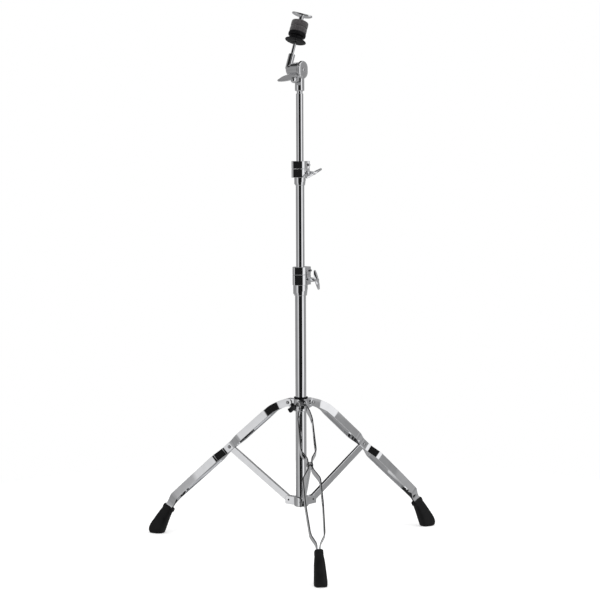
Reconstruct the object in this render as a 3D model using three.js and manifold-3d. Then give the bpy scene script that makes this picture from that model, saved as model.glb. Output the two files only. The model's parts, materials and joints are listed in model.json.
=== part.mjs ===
// Straight cymbal stand: a folding tripod with double-strip legs, three telescoping tubes,
// two split height clamps with memory locks, and a stepless tilter with seat, felts and wing nut.
// Millimetres and degrees. Z is up, the floor is at zero, and the front leg points along -Y.
import * as THREE from 'three';
import { mergeVertices } from 'three/addons/utils/BufferGeometryUtils.js';
import Module from 'manifold-3d';

const wasm = await Module();
wasm.setup();

// Fits: clearance between neighbours, and how far a cutter runs past what it cuts
const clearance = 0.3;
const overrun = 5;

// Tubes
const baseTubeDiameter = 28.6;
const baseTubeWall = 1.2;
const middleTubeDiameter = 22.2;
const middleTubeWall = 1;
const middleTubeInsert = 128;
const upperTubeDiameter = 19.05;
const upperTubeWall = 1.2;
const upperTubeInsert = 155;
const middleTubeReach = 209.6;
const upperTubeReach = 172;
const tubeEndRound = 1;

// How finely round pieces are divided
const tubeSides = 18;
const discSides = 22;
const pinSides = 10;
const cornerSteps = 3;
const bootSides = 14;

// Legs: the linkage is isosceles, so hub and collar stand the same height over and under the stay pivots
const legCount = 3;
const stayPivotRadius = 205;
const stayPivotHeight = 249;
const hubPivotHeight = 377;
const linkPivotRadius = 33;
const collarPivotHeight = 2 * stayPivotHeight - hubPivotHeight;
const stripHeight = 20;
const stripThickness = 3;
const hubStripSpacing = 18.7;
const kneeSpacing = 27.2;
const wideUpperSpacing = 38.2;
const wideLowerSpacing = 43.4;
const narrowLowerSpacing = 34.6;
const footStripSpacing = 7;
const kneeRadius = 80;
const kneeDrop = 19.5;
const kneeBowLead = 17;
const ankleRadius = 368;
const ankleHeight = 106;
const upperBowInset = 28;
const lowerBowOutset = 35;
const longBowLength = 60;
const pinchHalfLength = 9;
const pivotPinDiameter = 6;
const rivetHeadDiameter = 11;
const rivetHeadHeight = 2.4;

// Stays: folded sheet channels, web up, that taper towards the leg
const stayHeight = 17;
const staySheet = 1.5;
const stayCollarWidth = 9;
const stayLegWidth = 6.6;

// Rubber boots
const bootTopRadius = 390;
const bootTopHeight = 75;
const bootDrop = 59.5;
const bootLength = 93;
const bootDepth = 47;
const bootWidth = 34;
const bootStripDepth = 52;
const bootSquareness = 0.7;

// Leg hub, its bushing and its locking bolt
const hubTopRise = 11;
const hubHeight = 33;
const hubDiameter = 37;
const hubBushingWall = 1.4;
const hubBushingFlange = 4;
const hubBushingDiameter = 37;
const hubEarThickness = 3.2;
const hubBoltTurn = -60;
const hubBoltDiameter = 6;
const hubBoltLength = 9;
const hubWingSpan = 27;
const hubWingDepth = 8;
const hubWingThickness = 8;
const hubWingRoll = 40;
const hubWingBossDiameter = 13;

// Lower collar that holds the stays
const collarTopRise = 11;
const collarHeight = 27;
const collarFloor = 5;
const collarDiameter = 38;
const collarLip = 3;
const collarEarThickness = 3;
const collarPinDiameter = 4;
const earEndRadius = 10.5;

// Height clamps: what they share
const boltDiameter = 7;
const slitWidth = 3;
const wingSpan = 54;
const wingDepth = 11;
const wingThickness = 5;
const wingBossDiameter = 13;
const wingReach = 40;
const nutAcross = 12;
const nutHeight = 6;
const lockScrewDiameter = 4.5;
const lockScrewHead = 8;
const clampCorner = 2.5;
const skirtTilt = 17;
const backCornerRadius = 6;
const lockPocketShare = 0.5;

// Lower height clamp
const lowerClamp = {
  name: 'lower',
  bottom: 656,
  skirtHeight: 27,
  bodyHeight: 27,
  lockHeight: 20,
  bodyDiameter: 40.8,
  skirtDiameter: 37.6,
  mouthDiameter: 33,
  lugReach: 33,
  lugWidth: 19,
  boltOffset: 23,
  turn: 45,
  wingRoll: -19,
  bushingInsert: 45,
};

// Upper height clamp
const upperClamp = {
  name: 'upper',
  skirtHeight: 19.9,
  bodyHeight: 22.5,
  lockHeight: 20,
  bodyDiameter: 39,
  skirtDiameter: 29.5,
  mouthDiameter: 25.6,
  lugReach: 26,
  lugWidth: 17,
  boltOffset: 18.5,
  turn: 29,
  wingRoll: 65,
  bushingInsert: 0,
};

// Tilter
const tilterTurn = 42;
const tilterRise = 60;
const tilterLean = 21;
const spigotDiameter = 15;
const spigotInsert = 28;
const neckDiameter = 24;
const neckGap = 7;
const neckBandHeight = 14;
const drumDiameter = 39;
const drumBore = 25.6;
const drumRight = 8;
const drumLeft = 18.5;
const headHeight = 46;
const headWidth = 36;
const headThickness = 6.5;
const gussetThickness = 5;
const jawWidth = 16;
const jawThickness = 7.5;
const jawGap = 1.5;
const jawSlit = 3;
const jawOffset = 9.5;
const shaftDiameter = 18;
const eyeDiameter = 32;
const eyeThickness = 8.2;
const eyeDomeLength = 15.8;
const postOffset = 39.5;
const postDiameter = 15;
const postLength = 45;
const shaftScrewDiameter = 6;
const shaftScrewHead = 12;
const leverDrop = 26;
const leverLift = 4;
const leverLength = 50;
const leverDepth = 13.5;
const leverThickness = 5;
const leverDroop = 5;
const leverBossDiameter = 16;
const leverBossLength = 12;
const leverBoltDiameter = 6;

// Cymbal rod and what sits on it, by distance along the rod from the tilter's axis
const rodDiameter = 8;
const seatBottom = 81;
const seatFlangeDiameter = 52.5;
const seatFlangeHeight = 4;
const seatCupDiameter = 46;
const seatCupHeight = 11;
const seatHeight = 23.5;
const seatSleeveDiameter = 12;
const feltDiameter = 44;
const feltHole = 14;
const lowerFeltHeight = 14.6;
const upperFeltHeight = 16.4;
const feltRound = 3;
const wingNutSpan = 54;
const wingNutWidth = 25;
const wingNutPlate = 4;
const wingNutStemDiameter = 12.5;
const wingNutStemHeight = 15.5;
const wingNutDomeHeight = 5;
const rodTopDepth = 3;
const wingNutTurn = -48;

// Materials
const chrome = { color: 0xc9cacc, roughness: 0.12, metalness: 1 };
const darkSteel = { color: 0x2c2c2e, roughness: 0.35, metalness: 0.8 };
const blackNylon = { color: 0x17181a, roughness: 0.5, metalness: 0 };
const blackRubber = { color: 0x1d1d1f, roughness: 0.8, metalness: 0 };
const greyFelt = { color: 0x45434a, roughness: 0.95, metalness: 0 };
const steel = { color: 0xb4b5b8, roughness: 0.3, metalness: 1 };

const stand = new THREE.Group();

const radians = THREE.MathUtils.degToRad;
const xAxis = new THREE.Vector3(1, 0, 0);
const yAxis = new THREE.Vector3(0, 1, 0);

// A closed geometry as a solid that can be joined and cut; an inside-out one is turned round
function solid(geometry) {
  const bare = geometry.clone();
  bare.deleteAttribute('normal');
  bare.deleteAttribute('uv');
  const merged = mergeVertices(bare);
  const vertProperties = merged.attributes.position.array;
  const triVerts = new Uint32Array(merged.index.array);
  if (signedVolume(vertProperties, triVerts) < 0) {
    for (let i = 0; i < triVerts.length; i += 3) {
      [triVerts[i], triVerts[i + 1]] = [triVerts[i + 1], triVerts[i]];
    }
  }
  return new wasm.Manifold(new wasm.Mesh({ numProp: 3, vertProperties, triVerts }));
}

function signedVolume(points, triangles) {
  const corner = (i) => new THREE.Vector3().fromArray(points, 3 * triangles[i]);
  let volume = 0;
  for (let i = 0; i < triangles.length; i += 3) {
    volume += corner(i).dot(corner(i + 1).cross(corner(i + 2)));
  }
  return volume;
}

function joined(solids) {
  return solids.reduce((whole, piece) => whole.add(piece));
}

function cut(whole, ...cutters) {
  return cutters.reduce((rest, cutter) => rest.subtract(cutter), whole);
}

function place(name, shape, finish, parent = stand) {
  const mesh = shape.getMesh();
  const geometry = new THREE.BufferGeometry();
  geometry.setAttribute('position', new THREE.BufferAttribute(mesh.vertProperties, 3));
  geometry.setIndex(new THREE.BufferAttribute(mesh.triVerts, 1));
  const node = new THREE.Mesh(geometry, new THREE.MeshStandardMaterial(finish));
  node.name = name;
  parent.add(node);
  return node;
}

function turnedGroup(degrees, parent = stand) {
  const group = new THREE.Group();
  group.rotation.z = radians(degrees);
  parent.add(group);
  return group;
}

// Revolved piece about Z from [radius, height] points that close on themselves or on the axis
function turned(points, sides = tubeSides) {
  const profile = points.map(([radius, height]) => new THREE.Vector2(radius, height));
  const geometry = new THREE.LatheGeometry(profile, sides);
  geometry.rotateX(Math.PI / 2);
  return solid(geometry);
}

function ring(outer, inner, bottom, top, sides = tubeSides) {
  return turned([[inner, bottom], [outer, bottom], [outer, top], [inner, top], [inner, bottom]], sides);
}

// Round bar between two points
function bar(from, to, radius, sides = pinSides, endRadius = radius) {
  const along = to.clone().sub(from);
  const geometry = new THREE.CylinderGeometry(endRadius, radius, along.length(), sides);
  geometry.applyQuaternion(new THREE.Quaternion().setFromUnitVectors(yAxis, along.clone().normalize()));
  const middle = from.clone().add(to).multiplyScalar(0.5);
  geometry.translate(middle.x, middle.y, middle.z);
  return solid(geometry);
}

function box(low, high) {
  const size = high.clone().sub(low);
  const geometry = new THREE.BoxGeometry(size.x, size.y, size.z);
  const middle = low.clone().add(high).multiplyScalar(0.5);
  geometry.translate(middle.x, middle.y, middle.z);
  return solid(geometry);
}

function vec(x, y, z) {
  return new THREE.Vector3(x, y, z);
}

// Plate from a drawn outline, extruded along Z from a bottom to a top, its edges broken by a bevel
function plate(outline, bottom, top, bevel = 0, curveSegments = 8) {
  const geometry = new THREE.ExtrudeGeometry(outline, {
    depth: top - bottom - 2 * bevel,
    bevelEnabled: bevel > 0,
    bevelThickness: bevel,
    bevelSize: bevel,
    bevelOffset: -bevel,
    bevelSegments: 1,
    curveSegments,
  });
  geometry.translate(0, 0, bottom + bevel);
  return solid(geometry);
}

// Closed skin over a row of sections that have the same number of points
function loft(sections) {
  const count = sections[0].length;
  const points = [];
  const faces = [];
  sections.forEach((section) => section.forEach((point) => points.push(point.x, point.y, point.z)));
  for (let i = 0; i + 1 < sections.length; i += 1) {
    for (let j = 0; j < count; j += 1) {
      const a = i * count + j;
      const b = i * count + (j + 1) % count;
      faces.push(a, b, b + count, a, b + count, a + count);
    }
  }
  const flat = sections[0].map((_, i) => outlinePoint(sections[0], i));
  THREE.ShapeUtils.triangulateShape(flat, []).forEach(([a, b, c]) => {
    const last = (sections.length - 1) * count;
    faces.push(a, c, b, last + a, last + b, last + c);
  });
  const geometry = new THREE.BufferGeometry();
  geometry.setAttribute('position', new THREE.Float32BufferAttribute(points, 3));
  geometry.setIndex(faces);
  return solid(geometry);
}

// A section's own flat coordinates, from its first corner and its plane
function outlinePoint(section, i) {
  const origin = section[0];
  const across = section[1].clone().sub(origin).normalize();
  const normal = new THREE.Vector3();
  for (let k = 1; k < section.length; k += 1) {
    const next = section[(k + 1) % section.length].clone().sub(origin);
    normal.add(section[k].clone().sub(origin).cross(next));
  }
  const up = normal.normalize().cross(across);
  const offset = section[i].clone().sub(origin);
  return new THREE.Vector2(offset.dot(across), offset.dot(up));
}

// Points of an arc about a centre, first and last included, angles in degrees
function arcPoints(x, y, radius, start, end, steps) {
  const points = [];
  for (let i = 0; i <= steps; i += 1) {
    const angle = radians(start + ((end - start) * i) / steps);
    points.push(new THREE.Vector2(x + radius * Math.cos(angle), y + radius * Math.sin(angle)));
  }
  return points;
}

// Upright bar with full round ends
function roundedBar(width, height) {
  const radius = width / 2;
  const middle = height / 2 - radius;
  const steps = discSides / 3;
  return new THREE.Shape([
    ...arcPoints(0, middle, radius, 0, 180, steps),
    ...arcPoints(0, -middle, radius, 180, 360, steps),
  ]);
}

// Dome of a rivet's head: shares of its radius and height
const rivetDomeShares = [[0, 1], [0.7, 0.72], [1, 0]];

// Round-headed rivet along X through a stack that reaches to plus and minus reach
function rivet(reach) {
  const head = rivetHeadDiameter / 2;
  const pin = pivotPinDiameter / 2;
  const dome = rivetDomeShares.map(([out, up]) => [out * head, -reach - up * rivetHeadHeight]);
  const mirrored = dome.map(([radius, end]) => [radius, -end]).reverse();
  return turned([...dome, [pin, -reach], [pin, reach], ...mirrored], pinSides).rotate([0, 90, 0]);
}

// Tubes
const collarTop = collarPivotHeight + collarTopRise;
const collarBottom = collarTop - collarHeight;
const baseTubeBottom = collarBottom + collarFloor;
const hubTop = hubPivotHeight + hubTopRise;
const hubBottom = hubTop - hubHeight;
const hubBoltHeight = hubPivotHeight - hubTopRise;
const kneeHeight = hubPivotHeight - kneeDrop;
const upperBowRadius = stayPivotRadius - upperBowInset;
const lowerBowRadius = stayPivotRadius + lowerBowOutset;
const longBowRadius = lowerBowRadius + longBowLength;
const baseRadius = baseTubeDiameter / 2;
const middleRadius = middleTubeDiameter / 2;
const upperRadius = upperTubeDiameter / 2;
const clampTop = (clamp) => clamp.bottom + clamp.skirtHeight + clamp.bodyHeight + clamp.lockHeight;
upperClamp.bottom = clampTop(lowerClamp) + middleTubeReach;
const baseTubeTop = lowerClamp.bottom + lowerClamp.skirtHeight + slitWidth;
const middleTubeTop = upperClamp.bottom + upperClamp.skirtHeight + slitWidth;
const middleTubeBottom = baseTubeTop - slitWidth - middleTubeInsert;
const upperTubeBottom = middleTubeTop - slitWidth - upperTubeInsert;
const upperTubeTop = clampTop(upperClamp) + upperTubeReach;
const neckBottom = upperTubeTop + neckGap;
const neckTop = neckBottom + neckBandHeight;
const tilterHeight = upperTubeTop + tilterRise;
const leverHeight = tilterHeight - leverDrop;

function tube(radius, wall, bottom, top, round = 0) {
  return turned([
    [radius - wall, bottom],
    [radius, bottom],
    [radius, top - round],
    [radius - round, top],
    [radius - wall, top],
    [radius - wall, bottom],
  ]);
}

const middleTube = tube(middleRadius, middleTubeWall, middleTubeBottom, middleTubeTop);
place('middle_tube', middleTube, chrome);
const upperTube = tube(upperRadius, upperTubeWall, upperTubeBottom, upperTubeTop, tubeEndRound);
place('upper_tube', upperTube, chrome);

// Lower collar: a ring on the tube's foot with three pairs of ears, and the roll pin that holds it
const pinRadius = pivotPinDiameter / 2;
const collarEarReach = stayCollarWidth / 2 + clearance + collarEarThickness;

function earPlate(radius, height, endRadius, reach, top, bottom) {
  const outline = new THREE.Shape([
    new THREE.Vector2(0, bottom),
    ...arcPoints(radius, height, endRadius, -90, 90, pinSides / 2),
    new THREE.Vector2(0, top),
  ]);
  return plate(outline, -reach, reach).rotate([90, 0, 0]).rotate([0, 0, -90]);
}

function buildCollar() {
  const radius = collarDiameter / 2;
  const bore = baseRadius + clearance;
  const body = turned([
    [0, collarBottom],
    [radius - collarLip, collarBottom],
    [radius, collarBottom + collarLip],
    [radius, collarTop - collarLip],
    [radius - collarLip / 2, collarTop],
    [0, collarTop],
  ]);
  const pieces = [body];
  const socket = bar(vec(0, 0, baseTubeBottom - clearance), vec(0, 0, collarTop + overrun), bore, tubeSides);
  const drainRadius = baseRadius - 2 * baseTubeWall;
  const drain = bar(vec(0, 0, collarBottom - overrun), vec(0, 0, collarTop), drainRadius, tubeSides);
  const cutters = [socket, drain];
  for (let i = 0; i < legCount; i += 1) {
    const turn = [0, 0, (360 / legCount) * i];
    const ears = earPlate(linkPivotRadius, collarPivotHeight, earEndRadius, collarEarReach,
      collarTop - collarLip, collarBottom + collarLip);
    const gapReach = collarEarReach - collarEarThickness;
    const gap = box(vec(-gapReach, -linkPivotRadius - 2 * earEndRadius, collarBottom - overrun),
      vec(gapReach, -radius - clearance, collarTop + overrun));
    const hole = bar(vec(-collarEarReach - overrun, -linkPivotRadius, collarPivotHeight),
      vec(collarEarReach + overrun, -linkPivotRadius, collarPivotHeight), pinRadius + clearance);
    pieces.push(ears.rotate(turn));
    cutters.push(gap.rotate(turn), hole.rotate(turn));
  }
  const pinLine = (reach) => [vec(-reach, 0, collarPivotHeight), vec(reach, 0, collarPivotHeight)];
  cutters.push(bar(...pinLine(radius + overrun), collarPinDiameter / 2 + clearance));
  place('stay_collar', cut(joined(pieces), ...cutters), chrome);
  place('collar_roll_pin', bar(...pinLine(radius), collarPinDiameter / 2), steel);
  for (let i = 0; i < legCount; i += 1) {
    const pin = rivet(collarEarReach + clearance).translate([0, -linkPivotRadius, collarPivotHeight]);
    const seated = pin.rotate([0, 0, (360 / legCount) * i]);
    place(`collar_pin_${i + 1}`, seated, steel);
  }
  const tubeBody = tube(baseRadius, baseTubeWall, baseTubeBottom, baseTubeTop);
  const pinHole = bar(...pinLine(radius + overrun), collarPinDiameter / 2 + clearance);
  place('base_tube', cut(tubeBody, pinHole), chrome);
}
buildCollar();

// Leg hub: a barrel that slides on the base tube, with three tongues that the strips straddle
function buildHub() {
  const radius = hubDiameter / 2;
  const bore = baseRadius + hubBushingWall + 2 * clearance;
  const tongueReach = hubStripSpacing / 2 - stripThickness / 2 - clearance;
  const boltRadius = hubBoltDiameter / 2;
  const chamfer = (radius - bore) / 2;
  const body = turned([
    [0, hubBottom],
    [radius - chamfer, hubBottom],
    [radius, hubBottom + 2 * chamfer],
    [radius, hubTop - chamfer],
    [radius - chamfer, hubTop],
    [0, hubTop],
  ]);
  const pieces = [body];
  const cutters = [bar(vec(0, 0, hubBottom - overrun), vec(0, 0, hubTop + overrun), bore, tubeSides)];
  for (let i = 0; i < legCount; i += 1) {
    const turn = [0, 0, (360 / legCount) * i];
    const tongue = earPlate(linkPivotRadius, hubPivotHeight, earEndRadius, tongueReach,
      hubTop - chamfer, hubBottom + 2 * chamfer);
    const slotReach = tongueReach - hubEarThickness;
    const slot = box(vec(-slotReach, -linkPivotRadius - 2 * earEndRadius, hubBottom - overrun),
      vec(slotReach, -radius - hubEarThickness, hubTop + overrun));
    const hole = bar(vec(-tongueReach - overrun, -linkPivotRadius, hubPivotHeight),
      vec(tongueReach + overrun, -linkPivotRadius, hubPivotHeight), pinRadius + clearance);
    pieces.push(tongue.rotate(turn));
    cutters.push(slot.rotate(turn), hole.rotate(turn));
    const pinReach = hubStripSpacing / 2 + stripThickness / 2 + clearance;
    const pin = rivet(pinReach).translate([0, -linkPivotRadius, hubPivotHeight]);
    place(`hub_pin_${i + 1}`, pin.rotate(turn), steel);
  }
  const boltTurn = [0, 0, hubBoltTurn];
  const bossLine = [vec(0, -bore, hubBoltHeight), vec(0, -radius - 2 * chamfer, hubBoltHeight)];
  const boss = bar(...bossLine, hubWingDepth, tubeSides);
  const boltLine = [vec(0, 0, hubBoltHeight), vec(0, -hubDiameter, hubBoltHeight)];
  const boltHole = bar(...boltLine, boltRadius + clearance);
  pieces.push(boss.rotate(boltTurn));
  cutters.push(boltHole.rotate(boltTurn));
  place('leg_hub', cut(joined(pieces), ...cutters), chrome);

  const inner = baseRadius + clearance;
  const outer = inner + hubBushingWall;
  const flangeTop = hubTop + clearance + hubBushingFlange;
  const flange = hubBushingDiameter / 2;
  place('hub_bushing', turned([
    [inner, hubBottom],
    [outer, hubBottom],
    [outer, hubTop + clearance],
    [flange - hubBushingWall, hubTop + clearance],
    [flange, flangeTop],
    [flange - hubBushingWall, flangeTop],
    [inner, hubTop + hubBushingFlange / 2],
    [inner, hubBottom],
  ]), blackNylon);

  const boltStart = outer + 2 * clearance;
  const bossFace = radius + 2 * chamfer + clearance;
  const shaft = bar(vec(0, -boltStart, 0), vec(0, -bossFace - hubBoltLength / 2, 0), boltRadius);
  const hubWing = wing(hubWingSpan, hubWingDepth, hubWingThickness, hubWingRoll, bossFace, hubBoltLength,
    hubWingBossDiameter);
  const bolt = shaft.add(hubWing).translate([0, 0, hubBoltHeight]);
  place('hub_wing_bolt', bolt.rotate(boltTurn), darkSteel);
}

// How thick a wing's boss is at its leaves, against its foot
const wingBossEndShare = 0.6;

// Two-leaved handle at the -Y end of a bolt: a bowed bar with round tips on a tapering boss
function wing(span, depth, thickness, roll, start, length, bossDiameter) {
  const half = span / 2;
  const tip = thickness / 2;
  const outline = new THREE.Shape();
  outline.moveTo(0, 0);
  outline.quadraticCurveTo(half / 2, 0, half - tip, -depth / 3);
  outline.absarc(half - tip, -depth / 3 - tip, tip, Math.PI / 2, -Math.PI / 2, true);
  outline.quadraticCurveTo(half / 2, -depth - tip / 2, 0, -depth);
  outline.quadraticCurveTo(-half / 2, -depth - tip / 2, tip - half, -depth / 3 - 2 * tip);
  outline.absarc(tip - half, -depth / 3 - tip, tip, -Math.PI / 2, Math.PI / 2, true);
  outline.quadraticCurveTo(-half / 2, 0, 0, 0);
  const bevel = thickness / 5;
  const leaves = plate(outline, -thickness / 2, thickness / 2, bevel, cornerSteps);
  const bossRadius = bossDiameter / 2;
  const bossLine = [vec(0, -start, 0), vec(0, -start - length, 0)];
  const boss = bar(...bossLine, bossRadius, discSides / 2, wingBossEndShare * bossRadius);
  return leaves.rotate([0, roll - 90, 0]).translate([0, -start - length + depth, 0]).add(boss);
}
buildHub();

// One strip: its middle line in side view, its distance from the leg's middle plane, and its solid
const bootAxis = vec(0, -Math.cos(radians(bootDrop)), -Math.sin(radians(bootDrop)));
const bootTop = vec(0, -bootTopRadius, bootTopHeight);

function stripStations() {
  const hubEnd = vec(0, -linkPivotRadius, hubPivotHeight);
  const knee = vec(0, -kneeRadius, kneeHeight);
  const pivot = vec(0, -stayPivotRadius, stayPivotHeight);
  const upperShare = (upperBowRadius - kneeRadius) / (stayPivotRadius - kneeRadius);
  const pinchStart = knee.clone().lerp(pivot, upperShare);
  const ankle = vec(0, -ankleRadius, ankleHeight);
  const lowerShare = (lowerBowRadius - stayPivotRadius) / (ankleRadius - stayPivotRadius);
  const pinchEnd = pivot.clone().lerp(ankle, lowerShare);
  const kneeHandleHeight = hubPivotHeight - (hubPivotHeight - kneeHeight) / 4;
  const kneeHandle = vec(0, -(linkPivotRadius + kneeRadius) / 2, kneeHandleHeight);
  const footHandle = bootTop.clone().addScaledVector(bootAxis, (ankleHeight - bootTopHeight) / -2);
  const bootEnd = bootTop.clone().addScaledVector(bootAxis, bootStripDepth);
  const stretches = [
    [new THREE.QuadraticBezierCurve3(hubEnd, kneeHandle, knee), 4],
    [new THREE.LineCurve3(knee, pinchStart), 2],
    [new THREE.LineCurve3(pinchStart, pivot), 3],
    [new THREE.LineCurve3(pivot, pinchEnd), 4],
    [new THREE.LineCurve3(pinchEnd, ankle), 3],
    [new THREE.QuadraticBezierCurve3(ankle, footHandle, bootTop), 2],
    [new THREE.LineCurve3(bootTop, bootEnd), 1],
  ];
  const stations = [{ point: hubEnd, along: stretches[0][0].getTangent(0) }];
  stretches.forEach(([curve, steps]) => {
    for (let i = 1; i <= steps; i += 1) {
      stations.push({ point: curve.getPoint(i / steps), along: curve.getTangent(i / steps) });
    }
  });
  return stations;
}

// Half the distance between the strips at a radius, as a smooth run through named places
const bowPlaces = [
  [0, hubStripSpacing],
  [linkPivotRadius, hubStripSpacing],
  [linkPivotRadius + earEndRadius, hubStripSpacing],
  [kneeRadius - kneeBowLead, kneeSpacing],
  [upperBowRadius, wideUpperSpacing],
  [stayPivotRadius - pinchHalfLength, stayLegWidth + stripThickness + 2 * clearance],
  [stayPivotRadius + pinchHalfLength, stayLegWidth + stripThickness + 2 * clearance],
  [lowerBowRadius, wideLowerSpacing],
  [longBowRadius, wideLowerSpacing],
  [ankleRadius, narrowLowerSpacing],
  [bootTopRadius - footStripSpacing, footStripSpacing],
  [2 * bootTopRadius, footStripSpacing],
];

function bowAt(radius) {
  const next = bowPlaces.findIndex(([place]) => place > radius);
  const [startRadius, startSpacing] = bowPlaces[next - 1];
  const [endRadius, endSpacing] = bowPlaces[next];
  const share = THREE.MathUtils.smoothstep(radius, startRadius, endRadius);
  const even = (radius - startRadius) / (endRadius - startRadius);
  const blend = 0.5 * (share + even);
  return THREE.MathUtils.lerp(startSpacing, endSpacing, blend) / 2;
}

function strip(side) {
  const sections = stripStations().map(({ point, along }) => {
    const up = along.clone().cross(xAxis).normalize();
    const middle = point.clone().setX(side * bowAt(-point.y));
    const corner = (height, depth) => middle.clone()
      .addScaledVector(up, height * stripHeight / 2)
      .addScaledVector(xAxis, depth * stripThickness / 2);
    return [corner(1, 1), corner(1, -1), corner(-1, -1), corner(-1, 1)];
  });
  const round = stripHeight / 2;
  const eyeMiddle = vec(side * bowAt(linkPivotRadius), -linkPivotRadius, hubPivotHeight);
  const eyeFace = (depth) => eyeMiddle.clone().addScaledVector(xAxis, depth * stripThickness / 2);
  const eye = bar(eyeFace(-1), eyeFace(1), round, pinSides);
  const holes = [[linkPivotRadius, hubPivotHeight], [stayPivotRadius, stayPivotHeight]];
  const cutters = holes.map(([radius, height]) => bar(vec(-wideLowerSpacing, -radius, height),
    vec(wideLowerSpacing, -radius, height), pinRadius + clearance));
  return cut(loft(sections).add(eye), ...cutters);
}

// Channel stay from the collar to the pinched part of the strips, open side down
function stay() {
  const from = vec(0, -linkPivotRadius, collarPivotHeight);
  const to = vec(0, -stayPivotRadius, stayPivotHeight);
  const along = to.clone().sub(from).normalize();
  const up = xAxis.clone().cross(along).multiplyScalar(-1).normalize();
  const end = stayHeight / 2;
  const section = (base, width) => {
    const half = width / 2;
    const inner = half - staySheet;
    const top = stayHeight / 2;
    const corner = (across, height) => base.clone()
      .addScaledVector(xAxis, across)
      .addScaledVector(up, height);
    const bend = staySheet / 2;
    return [
      corner(-half, -top),
      corner(-inner, -top),
      corner(-inner, top - staySheet),
      corner(inner, top - staySheet),
      corner(inner, -top),
      corner(half, -top),
      corner(half, top - bend),
      corner(half - bend, top),
      corner(-half + bend, top),
      corner(-half, top - bend),
    ];
  };
  const start = from.clone().addScaledVector(along, -end);
  const finish = to.clone().addScaledVector(along, end);
  const halfway = section(from.clone().lerp(to, 0.5), stayCollarWidth);
  const channel = loft([section(start, stayCollarWidth), halfway, section(finish, stayLegWidth)]);
  const reach = wideLowerSpacing;
  const across = (middle) => [middle.clone().setX(-reach), middle.clone().setX(reach)];
  const hole = (middle) => bar(...across(middle), pinRadius + clearance);
  const nose = (middle, outward) => {
    const disc = bar(...across(middle), end, pinSides);
    const beyond = end + overrun;
    const block = box(vec(-reach / 2, 0, -beyond), vec(reach / 2, beyond, beyond));
    const angle = Math.atan2(outward.z, outward.y);
    const turn = [THREE.MathUtils.radToDeg(angle), 0, 0];
    return block.rotate(turn).translate(middle.toArray()).subtract(disc);
  };
  return cut(channel, hole(from), hole(to), nose(from, along.clone().negate()), nose(to, along));
}

// Rubber boot: round-cornered sections along the foot, flared to the toe and cut flat on the floor
const bootShares = [
  // along, inner side, outer side, half width
  [0, 0.345, 0.33, 0.305],
  [0.02, 0.36, 0.345, 0.32],
  [0.095, 0.36, 0.345, 0.325],
  [0.11, 0.315, 0.325, 0.318],
  [0.35, 0.35, 0.39, 0.395],
  [0.62, 0.43, 0.455, 0.44],
  [0.72, 0.455, 0.48, 0.457],
  [0.81, 0.475, 0.48, 0.47],
  [0.885, 0.485, 0.46, 0.468],
  [0.95, 0.49, 0.41, 0.445],
  [0.99, 0.49, 0.32, 0.39],
  [1, 0.49, 0.26, 0.36],
];

function boot() {
  const outward = xAxis.clone().cross(bootAxis).normalize();
  if (outward.y > 0) outward.negate();
  const sides = bootSides;
  const sections = bootShares.map(([along, inner, outer, half]) => {
    const middle = bootTop.clone().addScaledVector(bootAxis, along * bootLength);
    const points = [];
    for (let i = 0; i < sides; i += 1) {
      const angle = (2 * Math.PI * i) / sides;
      const squared = (value) => Math.sign(value) * Math.abs(value) ** bootSquareness;
      const depth = bootDepth * (outer + inner) / 2;
      const shift = bootDepth * (outer - inner) / 2;
      points.push(middle.clone()
        .addScaledVector(outward, shift + depth * squared(Math.cos(angle)))
        .addScaledVector(xAxis, bootWidth * half * squared(Math.sin(angle))));
    }
    return points;
  });
  const pocketReach = footStripSpacing / 2 + stripThickness / 2 + clearance;
  const pocketRise = stripHeight / 2 + clearance;
  const pocketStart = bootTop.clone().addScaledVector(bootAxis, -overrun);
  const pocketEnd = bootTop.clone().addScaledVector(bootAxis, bootStripDepth + clearance);
  const pocketSection = (base) => [[-1, -1], [1, -1], [1, 1], [-1, 1]].map(([a, b]) => base.clone()
    .addScaledVector(xAxis, a * pocketReach).addScaledVector(outward, b * pocketRise));
  const pocket = loft([pocketSection(pocketStart), pocketSection(pocketEnd)]);
  const floor = box(vec(-bootWidth, -2 * bootTopRadius, -2 * bootLength), vec(bootWidth, 0, 0));
  return cut(loft(sections), pocket, floor);
}

for (let i = 0; i < legCount; i += 1) {
  const leg = turnedGroup((360 / legCount) * i);
  const number = i + 1;
  place(`leg_${number}_left_strip`, strip(-1), chrome, leg);
  place(`leg_${number}_right_strip`, strip(1), chrome, leg);
  const pinReach = stayLegWidth / 2 + stripThickness + 2 * clearance;
  const pin = rivet(pinReach).translate([0, -stayPivotRadius, stayPivotHeight]);
  place(`leg_${number}_rivet`, pin, steel, leg);
  place(`boot_${number}`, boot(), blackRubber, leg);
  place(`stay_${number}`, stay(), chrome, leg);
}

// Height clamp: casting on the lower tube, nylon bushing, memory lock on the sliding tube, and bolts.
// Its plan is round about the tube, with a lug towards +X and a rounded corner opposite the lug.
function lugOutline(radius, reach, width) {
  const half = width / 2;
  const start = THREE.MathUtils.radToDeg(Math.asin(half / radius));
  const cornerX = Math.SQRT2 * (backCornerRadius - radius);
  const cornerStart = 135;
  const cornerEnd = 225;
  return new THREE.Shape([
    ...arcPoints(0, 0, radius, start, cornerStart, pinSides / 2),
    ...arcPoints(cornerX, 0, backCornerRadius, cornerStart, cornerEnd, cornerSteps),
    ...arcPoints(0, 0, radius, cornerEnd, 360 - start, pinSides / 2),
    ...arcPoints(reach - clampCorner, clampCorner - half, clampCorner, -90, 0, cornerSteps),
    ...arcPoints(reach - clampCorner, half - clampCorner, clampCorner, 0, 90, cornerSteps),
  ]);
}

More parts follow.
